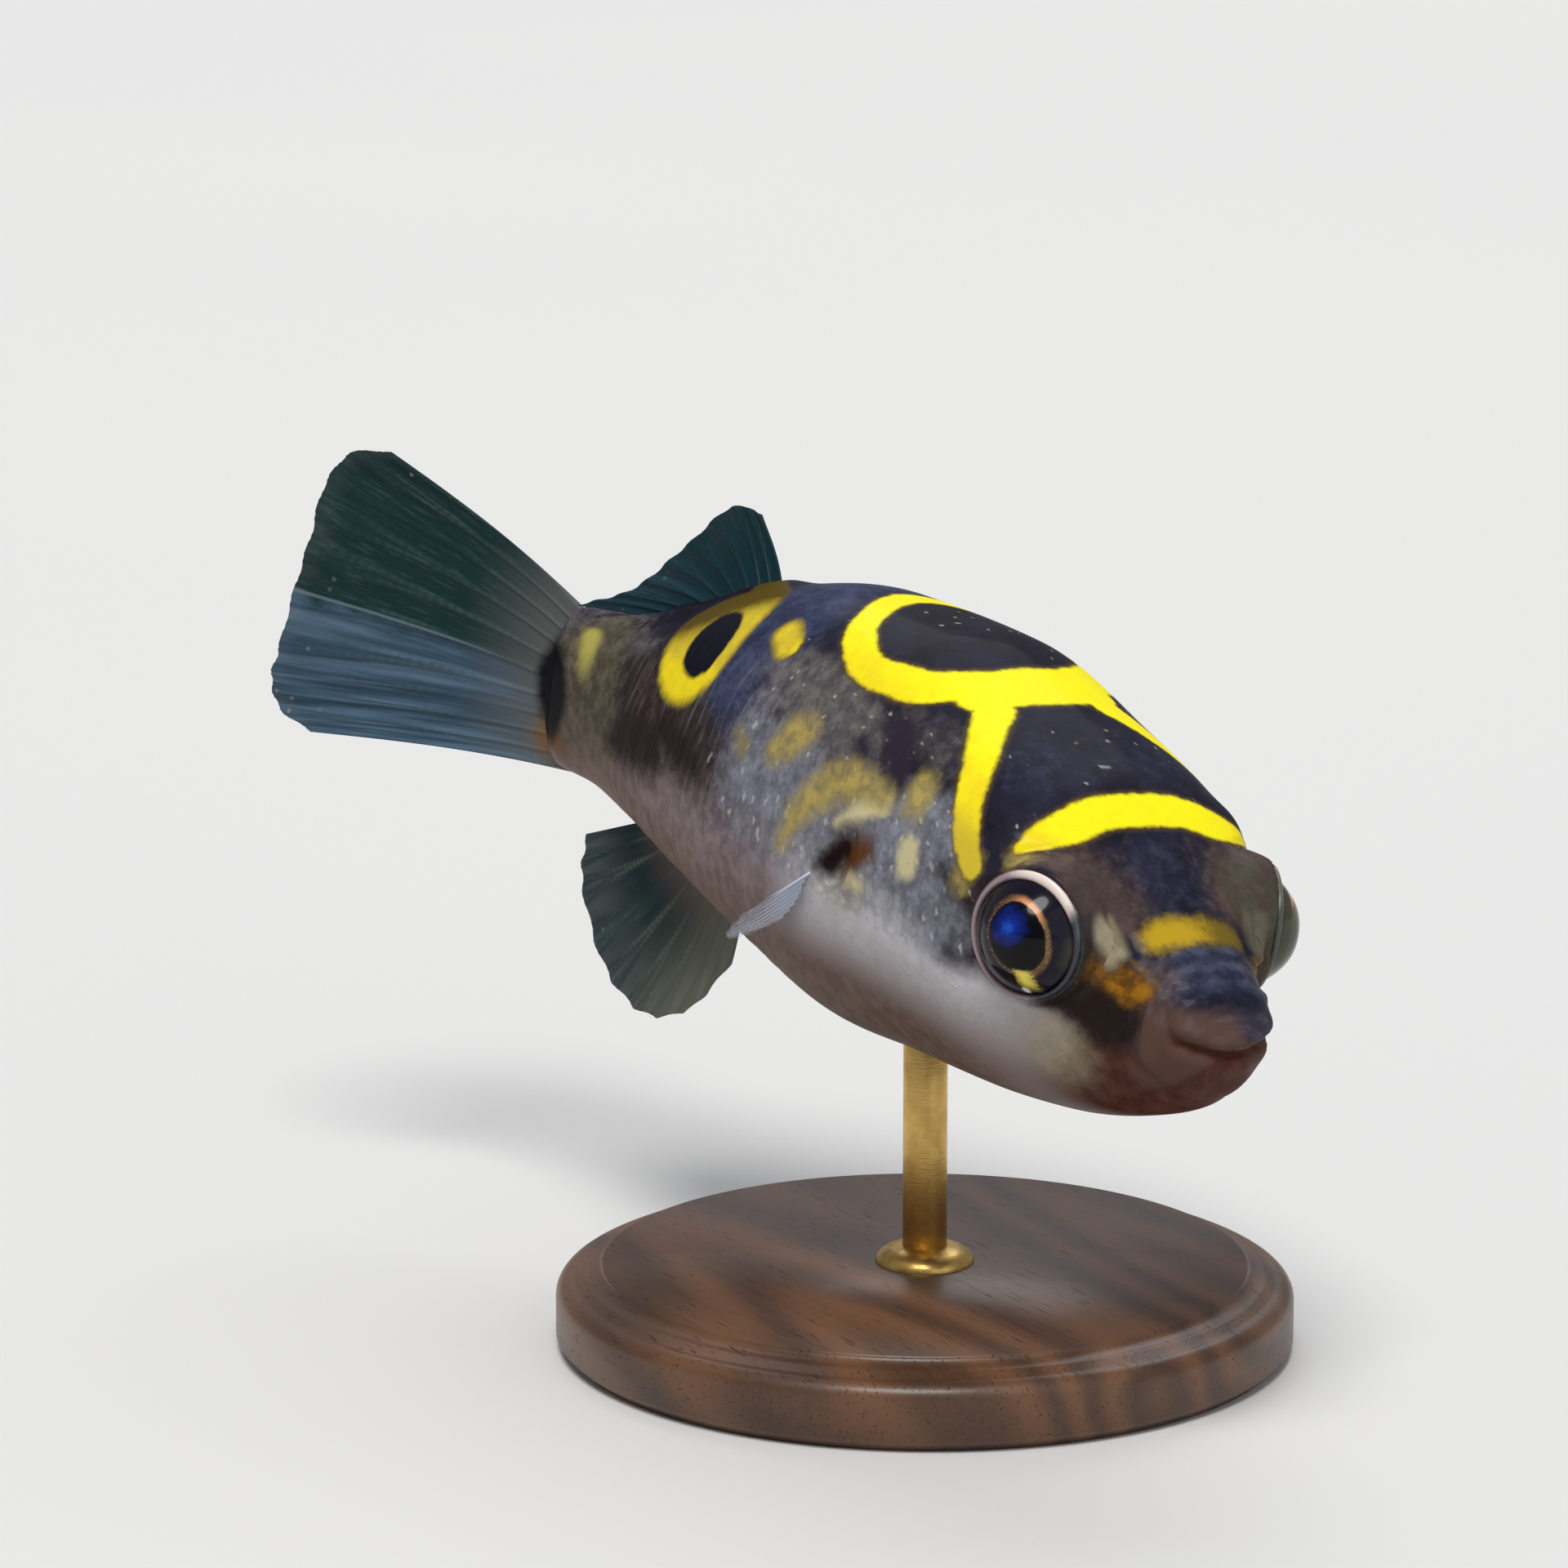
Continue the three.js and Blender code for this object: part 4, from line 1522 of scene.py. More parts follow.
@dataclass(frozen=True)
class RimFinish:
    """The pale wet skin rim round the eye: painted highlight above, dark towards the snout with a painted teal
    reflection.
    """

    name: str = "wet_eye_rim"
    # The bright tone is a painted highlight and the teal one a painted reflection.
    bright: Colour = srgb(232, 216, 208)
    pale: Colour = srgb(150, 130, 134)
    dark: Colour = srgb(42, 40, 52)
    teal_reflection: Colour = srgb(66, 76, 78)

    def material(self) -> bpy.types.Material:
        """Builds the rim's nodes.

        Returns:
            The material.
        """
        s = Shader(self.name)
        eye = s.vector("eye")
        clouds = s.noise(eye, 1.8, 3.0)
        return s.finish(
            {"IOR": 1.4, "Coat Weight": 0.35, "Coat Roughness": 0.15},
            {
                "Base Color": self.colour(s),
                "Roughness": 0.32 + 0.2 * clouds,
                "Normal": s.relief(s.noise(eye, 7.0, 2.0), 0.015),
            },
        )

    def colour(self, s: Shader) -> Term:
        """The rim's colour at a place in the eye's own coordinates.

        Args:
            s: The nodes of the skin, or of the rim itself.

        Returns:
            The colour.
        """
        eye = s.vector("eye")
        forward, up, _ = s.parts(eye)
        clouds = s.noise(eye, 1.8, 3.0)
        away = s.length(s.stretched(eye, (1.0, 1.0, 0.0)))
        # Painted highlight: the rim goes from pale to bright towards its top.
        shade = s.mix((up + forward * 0.35 + clouds * 0.6).rise(2.2, 3.6), self.pale, self.bright)
        # Painted reflection: teal along the outer edge of the dark snout side.
        front = s.mix((away + clouds * 0.2).rise(3.35, 3.5), self.dark, self.teal_reflection)
        return s.mix((forward - up * 0.25 + (clouds - 0.5) * 0.8).rise(1.4, 2.4), shade, front)


# The left eye's rim: a darker olive copy with a dim highlight, painted shade on that side.
SHADED_OLIVE_RIM = RimFinish(
    name="wet_eye_rim_left",
    bright=srgb(92, 90, 78),
    pale=srgb(72, 70, 60),
    dark=srgb(50, 50, 44),
    teal_reflection=srgb(62, 66, 54),
)


@dataclass(frozen=True)
class EyeFinish:
    """A clear polished eye: black-violet, thin iris ring, painted glints, pupil with painted blue reflection,
    painted olive snout-side sheen.
    """

    name: str
    # Where the painted olive cornea sheen starts and is full, along the eye's forward axis.
    cornea_sheen_span: tuple[float, float]
    ground: Colour = srgb(18, 15, 29)
    ground_brown: Colour = srgb(24, 16, 16)
    olive_cornea_sheen: Colour = srgb(66, 68, 52)
    black: Colour = srgb(2, 2, 5)
    # The two blues are the pupil's painted reflection; gold is a painted glint and shine a painted highlight
    # speck.
    blue: Colour = srgb(10, 34, 120)
    bright_blue_reflection: Colour = srgb(34, 92, 200)
    dull: Colour = srgb(104, 84, 52)
    gold: Colour = srgb(240, 222, 96)
    copper: Colour = srgb(232, 156, 108)
    shine: Colour = srgb(232, 230, 214)
    middle: tuple[float, float, float] = (0.42, 0.4, 0.0)
    copper_highlight_place: tuple[float, float, float] = (0.55, 1.7, 0.0)
    shine_place: tuple[float, float, float] = (0.92, -2.5, 0.0)
    sheen_place: tuple[float, float, float] = (-0.05, 0.8, 0.0)
    pupil: float = 1.58
    ring: float = 0.11
    squeeze: float = 0.017
    lean: float = 0.117

    def material(self) -> bpy.types.Material:
        """Builds the eye's nodes.

        Returns:
            The material.
        """
        s = Shader(self.name)
        eye = s.vector("eye")
        forward, up, depth = s.parts(eye)
        clouds = s.noise(eye, 1.6, 3.0)
        fibres = s.noise(eye, 8.0, 2.0)
        flat = s.stretched(eye, (1.0, 1.0, 0.0))
        away = s.distance(flat, self.middle)
        across, above = forward - self.middle[0], up - self.middle[1]
        tall = (across * across - above * above) * self.squeeze + across * above * self.lean
        oval = away + tall + (clouds - 0.5) * 0.16
        ground = s.mix(forward.rise(0.0, -1.8) * clouds.rise(0.3, 0.7), self.ground, self.ground_brown)
        # Painted sheen: olive round the ball beyond the cornea, where the clear cornea is seen edge-on.
        ground = s.mix(depth.rise(1.75, 1.2), ground, self.olive_cornea_sheen)
        off = oval - (self.pupil + self.ring)
        ring = off.rise(-self.ring, -0.04) * off.rise(self.ring * 2.2, 0.02)
        # Painted highlight: the copper ring is brightest round one place near its top, and the dull ring
        # towards the front and top.
        lit = (s.distance(flat, self.copper_highlight_place) + (fibres - 0.5) * 0.9).rise(1.3, 0.15)
        edge = (forward * 0.8 + up * 0.3 + (fibres - 0.5) * 0.6).rise(-1.2, 1.6)
        ground = s.mix(ring * (0.25 + 0.75 * edge) * 0.9, ground, self.dull)
        ground = s.mix(ring * (lit + 0.3 * fibres.rise(0.45, 0.7)), ground, self.copper)
        # A painted gold glint low in the iris, and a painted white highlight speck below it.
        fall = (forward - 1.15 + (up + 1.8) * 0.15 + (fibres - 0.5) * 0.7).absolute().rise(0.62, 0.1)
        glint = fall * up.rise(-0.95, -1.4) * up.rise(-2.6, -1.8)
        ground = s.mix(glint * 0.95, ground, self.gold)
        speck = s.distance(flat, self.shine_place).rise(0.26, 0.1)
        ground = s.mix(speck * 0.8, ground, self.shine)
        # Painted reflection: a blue sheen in the upper back of the black pupil.
        sheen = s.distance(flat, self.sheen_place) + (fibres - 0.5) * 0.5 + (clouds - 0.5) * 0.8
        pupil = s.mix(sheen.rise(1.25, 0.35), self.black, self.blue)
        pupil = s.mix(sheen.rise(0.55, 0.05) * 0.6, pupil, self.bright_blue_reflection)
        ground = s.mix(oval.rise(self.pupil + 0.02, self.pupil - 0.1), ground, pupil)
        # More painted olive cornea sheen towards the snout.
        ground = s.mix((forward + (clouds - 0.5) * 0.5).rise(*self.cornea_sheen_span) * 0.85, ground, self.olive_cornea_sheen)
        return s.finish(
            {
                "IOR": 1.3,
                "Specular IOR Level": 0.15,
                "Coat Weight": 0.45,
                "Coat Roughness": 0.07,
                "Coat IOR": 1.34,
                "Roughness": 0.2,
            },
            {"Base Color": ground, "Normal": s.relief(fibres * 0.2 + clouds, 0.004)},
        )


@dataclass(frozen=True)
class FinFinish:
    """A fin's membrane between fine, jointed, paler rays, in one tone ahead and another behind."""

    name: str
    root: Colour
    first: Colour
    second: Colour
    ray: Colour
    band: Colour
    split: tuple[float, float]
    root_reach: float
    ray_share: float
    see_through: float
    clear_root: float = 0.0
    divide: float = -1.0
    thin_from: tuple[float, float] = (0.3, 1.0)
    rough: float = 0.42
    fleck: Colour = srgb(186, 180, 196)
    spot: Colour = srgb(14, 13, 20)
    rust: Colour = srgb(118, 84, 40)

    def material(self) -> bpy.types.Material:
        """Builds the fin's nodes.

        Returns:
            The material.
        """
        s = Shader(self.name)
        fin = s.vector("fin")
        along, out, ray = s.parts(fin)
        place = s.vector("straight")
        clouds = s.noise(place, 0.45, 4.0, 0.6)
        fine = s.noise(place, 2.4, 3.0, 0.6)
        bands = s.noise(s.stretched(fin, (19.0, 1.2, 0.0)), 1.0, 3.0, 0.6)
        fibres = s.noise(s.stretched(fin, (120.0, 4.0, 0.0)), 1.0, 3.0, 0.6)
        second = (along + (clouds - 0.5) * 0.1).rise(*self.split)
        web = s.mix(second, self.first, s.mix(bands.rise(0.4, 0.7), self.second, self.band))
        hatch = s.noise(s.stretched(fin, (110.0, 9.0, 0.0)), 1.0, 2.0)
        web = s.mix(hatch.rise(0.5, 0.8) * 0.2, web, s.mix(second, self.ray, self.band))
        joints = s.node(
            "ShaderNodeTexWave",
            {"bands_direction": "Y", "wave_profile": "SIN"},
            {"Vector": s.stretched(fin, (0.0, 1.0, 0.0)), "Scale": 9.0, "Distortion": 1.5, "Detail": 1.0},
        )
        uneven = s.noise(s.stretched(fin, (9.0, 1.2, 0.0)), 1.0, 2.0).rise(0.38, 0.75)
        lined = (ray * uneven * (0.55 + 0.45 * joints) + fibres.rise(0.55, 0.8) * 0.35) * out.rise(1.25, 0.45)
        web = s.mix(lined * self.ray_share, web, self.ray)
        parting = (along - self.divide + (bands - 0.5) * 0.008).absolute().rise(0.006, 0.001)
        web = s.mix(parting * out.rise(0.1, 0.5) * 0.75, web, self.ray)
        web = s.mix((out + (bands - 0.5) * 0.25 * self.root_reach).rise(self.root_reach, 0.0), web, self.root)
        flecks, chance = s.cells(place, 1.0)
        rim = (along - 0.5).absolute().rise(0.4, 0.47).high(out.rise(0.8, 0.97) * 0.7)
        bright = flecks.rise(0.2, 0.06) * chance.rise(0.6, 0.7) * rim
        web = s.mix(bright * 0.4, web, self.fleck)
        web = s.mix((s.value("tail_spot") + (clouds - 0.5) * 0.9).rise(0.55, -0.45), web, self.spot)
        web = s.mix(s.value("rust").rise(0.0, 1.0) * 0.8, web, self.rust)
        thin = (1 - ray * 0.5) * (out.rise(*self.thin_from) + self.clear_root * out.rise(0.6, 0.1))
        thin = thin * (0.6 + 0.8 * clouds)
        return s.finish(
            {"IOR": 1.38, "Coat Weight": 0.04, "Coat Roughness": 0.2, "Specular IOR Level": 0.1},
            {
                "Base Color": web,
                "Roughness": self.rough + 0.2 * fine,
                "Alpha": 1 - thin * self.see_through,
                "Normal": s.relief(fibres * 0.5 + joints * ray * 0.4, 0.035),
            },
        )


@dataclass(frozen=True)
class WalnutFinish:
    """Turned, waxed walnut with its grain running across the disc."""

    light: Colour = srgb(112, 74, 46)
    dark: Colour = srgb(52, 32, 20)
    pore: Colour = srgb(28, 17, 11)

    def material(self) -> bpy.types.Material:
        """Builds the wood's nodes.

        Returns:
            The material.
        """
        s = Shader("waxed_walnut")
        place = s.stretched(s.place(), (1 / MM, 1 / MM, 1 / MM))
        warp = s.noise(s.stretched(place, (0.05, 0.3, 0.3)), 1.0, 3.0)
        heart = s.noise(s.stretched(place, (0.012, 0.06, 0.06)), 1.0, 1.0)
        rings = (heart * 60.0 + warp * 2.0).sine() * 0.5 + 0.5
        streak = s.noise(s.stretched(place, (0.12, 2.6, 2.6)), 1.0, 4.0, 0.65)
        pores = s.noise(s.stretched(place, (0.5, 6.5, 6.5)), 1.0, 2.0).rise(0.62, 0.72)
        colour = s.mix(rings * 0.55 + streak * 0.45 + (warp - 0.5) * 0.4, self.dark, self.light)
        colour = s.mix(pores * 0.7, colour, self.pore)
        rough = 0.38 + 0.2 * streak + 0.15 * pores
        height = streak * 0.4 - pores * 0.8
        return s.finish(
            {"IOR": 1.45, "Coat Weight": 0.3, "Coat Roughness": 0.25},
            {"Base Color": colour, "Roughness": rough, "Normal": s.relief(height, 0.03)},
        )


@dataclass(frozen=True)
class BrassFinish:
    """Satin brass, brushed round the rod and a little tarnished near the foot."""

    bright: Colour = srgb(214, 178, 104)
    tarnished: Colour = srgb(150, 112, 62)

    def material(self) -> bpy.types.Material:
        """Builds the brass's nodes.

        Returns:
            The material.
        """
        s = Shader("satin_brass")
        place = s.stretched(s.place(), (1 / MM, 1 / MM, 1 / MM))
        _, _, up = s.parts(place)
        brushed = s.noise(s.stretched(place, (0.8, 0.8, 14.0)), 1.0, 3.0, 0.6)
        clouds = s.noise(place, 0.7, 3.0)
        dull = clouds.rise(0.35, 0.7) * (0.35 + 0.65 * up.rise(9.0, 5.0))
        return s.finish(
            {"Metallic": 1.0},
            {
                "Base Color": s.mix(dull, self.bright, self.tarnished),
                "Roughness": 0.22 + 0.16 * brushed + 0.2 * dull,
                "Normal": s.relief(brushed, 0.012),
            },
        )


# ---------------------------------------------------------------- the flesh


@dataclass
class Flesh:
    """The body's one skin, from the lips to the tail fin's root."""

    cuts: int = 123
    lid_clear: tuple[float, float] = (3.9, 4.5)
    nostril_clear: tuple[float, float] = (3.5, 3.9)
    mouth: Mouth = Mouth()
    nostril: Nostril = Nostril()
    folds: Folds = Folds()
    finish: SkinFinish = SkinFinish()
    at: Numbers = field(init=False)
    turn: Numbers = field(init=False)

    def build(self) -> bpy.types.Object:
        """Makes, paints and places the skin.

        Returns:
            The skin's piece.
        """
        mesh = self.ball()
        self.chart_out(read_points(mesh))
        points = FISH.set_in_eyes(FISH.place(self.at, self.turn))
        write_points(mesh, points)
        points = points + read_normals(mesh) * self.relief(points)[:, None]
        self.paint(mesh, points)
        write_points(mesh, SPINE.world(points))
        skin = add_piece(mesh, self.finish.material())
        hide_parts("head", "upper_lip", "lower_lip", "trunk", "tail")
        return skin

    def ball(self) -> bpy.types.Mesh:
        """A ball of even quads, which has no poles, with its x axis as the fish's.

        Returns:
            The ball, still a cube from -1 to 1.
        """
        bm = bmesh.new()
        bmesh.ops.create_cube(bm, size=2)
        bmesh.ops.subdivide_edges(bm, edges=bm.edges[:], cuts=self.cuts, use_grid_fill=True)
        bmesh.ops.recalc_face_normals(bm, faces=bm.faces[:])
        return to_mesh("skin", bm)

    def chart_out(self, cube: Numbers) -> None:
        """Works out the chart place of each vertex of the cube.

        Args:
            cube: The vertices of a cube from -1 to 1.
        """
        even = unit(np.tan(cube * math.pi / 4))
        share = np.arccos(np.clip(even[:, 0], -1, 1)) / math.pi
        self.at = FISH.behind(share)
        self.turn = np.degrees(np.arctan2(even[:, 1], even[:, 2]))

    def relief(self, points: Numbers) -> Numbers:
        """How far each point is lifted by lips, folds, nostrils, gills and fin roots, in millimetres.

        Args:
            points: Points on the straight fish.

        Returns:
            The lifts.
        """
        folded = self.folded(points)
        lift = self.mouth.over(points) + self.folds.over(self.at, np.abs(self.turn))
        for bead in BEADS:
            lift += bead.over(folded)
        off_ball = np.linalg.norm(self.eye_place(points), axis=1)
        nostril = self.nostril.over(folded) * ease(off_ball, *self.nostril_clear)
        return lift * self.clear_of_eyes(points) + nostril

    @staticmethod
    def folded(points: Numbers) -> Numbers:
        """The points, with the right flank's folded onto the left."""
        return np.stack([points[:, 0], np.abs(points[:, 1]), points[:, 2]], axis=1)

    def clear_of_eyes(self, points: Numbers) -> Numbers:
        """0 on the eyeballs and their lids, 1 elsewhere.

        Args:
            points: Points on the straight fish.

        Returns:
            The shares.
        """
        clear = np.ones(len(points))
        for way in (LEFT, RIGHT):
            clear *= ease(np.linalg.norm(points - FISH.eye.centre(way), axis=1), *self.lid_clear)
        return clear

    def paint(self, mesh: bpy.types.Mesh, points: Numbers) -> None:
        """Keeps the chart, the markings and the tints on the vertices.

        Args:
            mesh: The skin's mesh.
            points: Its points on the straight fish.
        """
        turn = np.abs(self.turn)
        girth = np.hypot(points[:, 1], points[:, 2])
        paint_vector(mesh, "straight", points)
        paint_vector(mesh, "chart", np.stack([self.at, np.radians(self.turn) * girth, turn], axis=1))
        bare = FISH.place(self.at, turn)
        strokes = (*STROKES, *self.nostril.lobes)
        for mark in Mark:
            edges = [edge_distance(bare, *stroke.samples()) for stroke in strokes if stroke.mark is mark]
            paint_value(mesh, mark.value, np.min(edges, axis=0))
        for tint in Tint:
            washes = [wash.over(self.at, turn, girth) for wash in WASHES if wash.tint is tint]
            share = np.clip(np.sum(washes, axis=0), 0, 1) if washes else self.around(tint, points)
            paint_value(mesh, tint.value, share)
        paint_value(mesh, "flank", ease(turn, 44, 66) * ease(self.at, 13, 18) + ease(self.at, 47, 54) * 0.8)
        paint_value(mesh, "folds", self.folds.share(self.at, turn))
        paint_value(mesh, "belly", np.radians(turn - BELLY_EDGE(self.at)) * girth)
        speckled = ease(turn, 95, 88) * ease(self.at, 9.0, 12.0) * ease(self.at, 40, 30)
        paint_value(mesh, "speckled", speckled * (0.25 + 0.75 * ease(turn, 30, 62)))
        paint_value(mesh, "slit", self.mouth.near(points) * ease(np.abs(self.mouth.off(points)), 0.3, 0.12))
        paint_value(mesh, "tail_spot", TailSpot().edge(points))
        paint_value(mesh, "tail_edge", self.tail_edge(turn))
        paint_vector(mesh, "eye", self.eye_place(points))

    def around(self, tint: Tint, points: Numbers) -> Numbers:
        """The share of the lips' or the eyelids' tint at each point.

        Args:
            tint: Tint.LIPS or Tint.LID.
            points: Points on the straight fish.

        Returns:
            The shares.
        """
        if tint is Tint.LIPS:
            return ease(self.at, 4.0, 2.0) * ease(points[:, 2], 2.4, 0.6) * ease(np.abs(self.turn), 150, 120)
        own = self.eye_place(points)
        near = ease(np.linalg.norm(own, axis=1), 5.0, 4.0) * ease(own[:, 0] + 0.3 * own[:, 1], 1.0, 2.8)
        # Stronger on the left: there the lid tint is a painted olive sheen, like the left eye's.
        return near * np.where(points[:, 1] > 0, 1.0, 0.4)

    @staticmethod
    def eye_place(points: Numbers) -> Numbers:
        """The points in the nearer eye's own coordinates."""
        left, right = ((points - FISH.eye.centre(way)) @ FISH.eye.axes(way).T for way in (LEFT, RIGHT))
        return np.where(points[:, 1:2] > 0, left, right)

    def tail_edge(self, turn: Numbers) -> Numbers:
        """The share of the yellow edge ahead of the tail spot, and of the rusty one below it.

        Args:
            turn: Turns from the back, in degrees.

        Returns:
            The shares.
        """
        ahead = bump(self.at - 55.0 + 0.02 * (turn - 45), 0.75) * ease(turn, 32, 42) * ease(turn, 95, 48)
        below = bump(self.at - 57.6, 1.3) * ease(turn, 114, 122) * ease(turn, 142, 130)
        return np.clip(ahead + below, 0, 1)


# ---------------------------------------------------------------- the eyes


@dataclass
class Eye:
    """One eyeball, with the rim of skin that holds it."""

    way: int
    place: EyePlace = FISH.eye
    cornea: float = 0.16
    cornea_edge: tuple[float, float] = (52.0, 18.0)
    rim_radius: float = 3.14
    rim_depth: float = 1.66
    rim_half: tuple[float, float] = (0.13, 0.2)
    rim_brow: float = 0.15
    brow_turn: float = 70.0
    brow_width: float = 42.0
    rim_wave: float = 0.04
    rim_steps: int = 16
    steps: int = 96

    @property
    def side(self) -> str:
        """The side's name."""
        return "left" if self.way == LEFT else "right"

    def build(self, eye: bpy.types.Material, rim: bpy.types.Material) -> None:
        """Makes the eyeball and its rim.

        Args:
            eye: The eyeball's finish.
            rim: The rim's finish.
        """
        ball = self.set_in(self.eyeball())
        piece = add_piece(ball, eye)
        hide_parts(f"eye_{self.side}")
        add_piece(self.set_in(self.rim()), rim)

    def eyeball(self) -> bpy.types.Mesh:
        """A ball with a slightly bulging cornea, which looks along its own z axis.

        Returns:
            The ball, round the eye's centre, in millimetres.
        """
        bm = bmesh.new()
        bmesh.ops.create_uvsphere(
            bm, u_segments=self.steps, v_segments=self.steps // 2, radius=self.place.radius
        )
        mesh = to_mesh(f"eyeball_{self.side}", bm)
        points = read_points(mesh)
        angle = np.degrees(np.arccos(np.clip(unit(points)[:, 2], -1, 1)))
        swell = 1 + self.cornea / self.place.radius * ease(angle, *self.cornea_edge)
        write_points(mesh, points * swell[:, None])
        return mesh

    def rim(self) -> bpy.types.Mesh:
        """A ring of skin round the opening, thinner towards the bottom and the snout.

        Returns:
            The ring, in the eye's own coordinates.
        """
        wide, tall = self.rim_half
        profile = [
            (self.rim_radius + wide * math.cos(a), self.rim_depth + tall * math.sin(a))
            for a in np.linspace(0, math.tau, self.rim_steps, endpoint=False)
        ]
        mesh = turned_mesh(f"eye_rim_{self.side}", profile, self.steps, closed=True)
        points = read_points(mesh)
        around = np.arctan2(points[:, 1], points[:, 0])
        away = np.hypot(points[:, 0], points[:, 1])
        brow = bump((around - math.radians(self.brow_turn)) / math.radians(self.brow_width), 1.0)
        fuller = (away - self.rim_radius) * (1 + brow * self.rim_brow / wide) + brow * self.rim_brow * 0.4
        points[:, :2] *= ((self.rim_radius + fuller) / away)[:, None]
        points[:, 2] += self.rim_wave * np.sin(around * 2 + 0.6)
        write_points(mesh, points)
        return mesh

    def set_in(self, mesh: bpy.types.Mesh) -> bpy.types.Mesh:
        """Keeps the eye's own coordinates on a mesh, and moves it into the head.

        Args:
            mesh: The eyeball or its rim.

        Returns:
            The same mesh.
        """
        points = read_points(mesh)
        paint_vector(mesh, "eye", points)
        straight = points @ self.place.axes(self.way) + self.place.centre(self.way)
        write_points(mesh, SPINE.world(straight))
        return mesh


# ---------------------------------------------------------------- the fins


@dataclass
class Fin:
    """A fin of branching rays between a root line and a margin, both functions of the share along the fin."""

    name: str
    node: str
    slot: str
    rays: int
    root: Callable[[Numbers], Numbers]
    margin: Callable[[Numbers], Numbers]
    bulge: Callable[[Numbers, Numbers], Numbers]
    columns: int = 20
    rows: int = 90
    ray_half: float = 0.13
    web_half: float = 0.08
    root_extra: float = 0.2
    notch: float = 0.002
    scallop: float = 0.006
    ripple: float = 0.09
    corners: tuple[float, float] = (0.02, 0.02)
    corner_reach: float = 0.13
    nudge: float = 0.01
    forks: tuple[float, float] = (0.3, 0.6)
    rust: tuple[float, float] = (-59.2, -4.1)

    def build(self, material: bpy.types.Material) -> None:
        """Makes and places the fin.

        Args:
            material: Its finish.
        """
        mesh = self.plate()
        flat = read_points(mesh)
        along, out, face = flat[:, 0] + 0.5, flat[:, 1] + 0.5, 2 * flat[:, 2] - 1
        ray = self.ridges(along, out)
        start, end = self.root(along), self.margin(along)
        tips = self.ridges(along, np.ones_like(out))
        reach = 1 - self.notch * (1 - tips) - self.scallop * np.abs(np.sin(math.pi * along * (self.rays - 1)))
        for corner, inwards in zip(self.corners, (along, 1 - along)):
            reach -= corner * np.clip(1 - inwards / self.corner_reach, 0, 1) ** 2
        middle = start + (end - start) * (out * reach)[:, None] + self.bulge(along, out)
        before, after = np.maximum(0, along - self.nudge), np.minimum(1, along + self.nudge)
        across = self.margin(after) - self.margin(before)
        normal = unit(np.cross(end - start, across))
        wave = self.ripple * out**1.5 * np.sin(math.tau * (along * (self.rays - 1) + 0.25 * np.sin(out * 3)))
        half = self.web_half * (1 - 0.45 * out) + self.ray_half * ray * (1 - 0.72 * out)
        half += self.root_extra * ease(out, 0.25, 0.0)
        half *= 1 - 0.75 * ease(np.maximum(out, np.abs(2 * along - 1)), 0.97, 1.0)
        straight = middle + normal * (wave + face * half)[:, None]
        paint_vector(mesh, "straight", straight)
        paint_vector(mesh, "fin", np.stack([along, out, ray], axis=1))
        paint_value(mesh, "tail_spot", TailSpot().edge(straight))
        behind, above = straight[:, 0] - self.rust[0], straight[:, 2] - self.rust[1]
        paint_value(mesh, "rust", bump(np.hypot(behind, above * 1.2), 1.0))
        write_points(mesh, SPINE.world(straight))
        piece = add_piece(mesh, material)
        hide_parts(self.node)

    def plate(self) -> bpy.types.Mesh:
        """A flat closed plate, one unit each way, with its grid along and out.

        Returns:
            The plate, which is bent to the fin afterwards.
        """
        bm = bmesh.new()
        bmesh.ops.create_grid(bm, x_segments=self.columns * (self.rays - 1), y_segments=self.rows, size=0.5)
        lifted = bmesh.ops.extrude_face_region(bm, geom=bm.faces[:], use_keep_orig=True)["geom"]
        tops = [v for v in lifted if isinstance(v, bmesh.types.BMVert)]
        bmesh.ops.translate(bm, verts=tops, vec=(0, 0, 1))
        bmesh.ops.recalc_face_normals(bm, faces=bm.faces[:])
        return to_mesh(self.name, bm)

    def ridges(self, along: Numbers, out: Numbers) -> Numbers:
        """How much of a ray is at each place, from 0 on the web to 1, with every ray forking twice.

        Args:
            along: Shares along the fin, from its first ray to its last.
            out: Shares of the way out from the root to the margin.

        Returns:
            The shares.
        """
        place = along * (self.rays - 1)
        off = place - np.round(place)
        first = 0.23 * ease(out, self.forks[0], 1.15)
        second = 0.105 * ease(out, self.forks[1], 1.15)
        width = 0.075 - 0.035 * out
        ridge = np.zeros_like(off)
        for a in (-1, 1):
            for b in (-1, 1):
                ridge = np.maximum(ridge, bump(off - a * first - b * second, width))
        return ridge


def chart_line(*places: tuple[float, float, float]) -> Line:
    """A smooth line through (behind the snout, left, up) places."""
    return Line([(-at, left, up) for at, left, up in places])


def tail_fin() -> Fin:
    """Broad and cut almost square, with rounded corners. The upper corner is the first ray."""
    return Fin(
        name="tail_fin",
        node="caudal_fin",
        slot="dark_fin",
        rays=11,
        columns=24,
        rows=110,
        root=chart_line((57.2, 0, 3.6), (57.6, 0, -0.8), (57.0, 0, -5.5)),
        margin=chart_line(
            (73.2, 0, 9.9),
            (75.5, 0, 8.8),
            (76.7, 0, 6.7),
            (77.0, 0, 3.6),
            (77.5, 0, 0.4),
            (78.2, 0, -3.4),
            (78.7, 0, -5.5),
            (78.1, 0, -7.1),
            (76.2, 0, -8.1),
        ),
        bulge=lambda along, out: sideways(0.5 * np.sin(math.pi * 3 * along) * out**2),
        corners=(0.04, 0.03),
    )


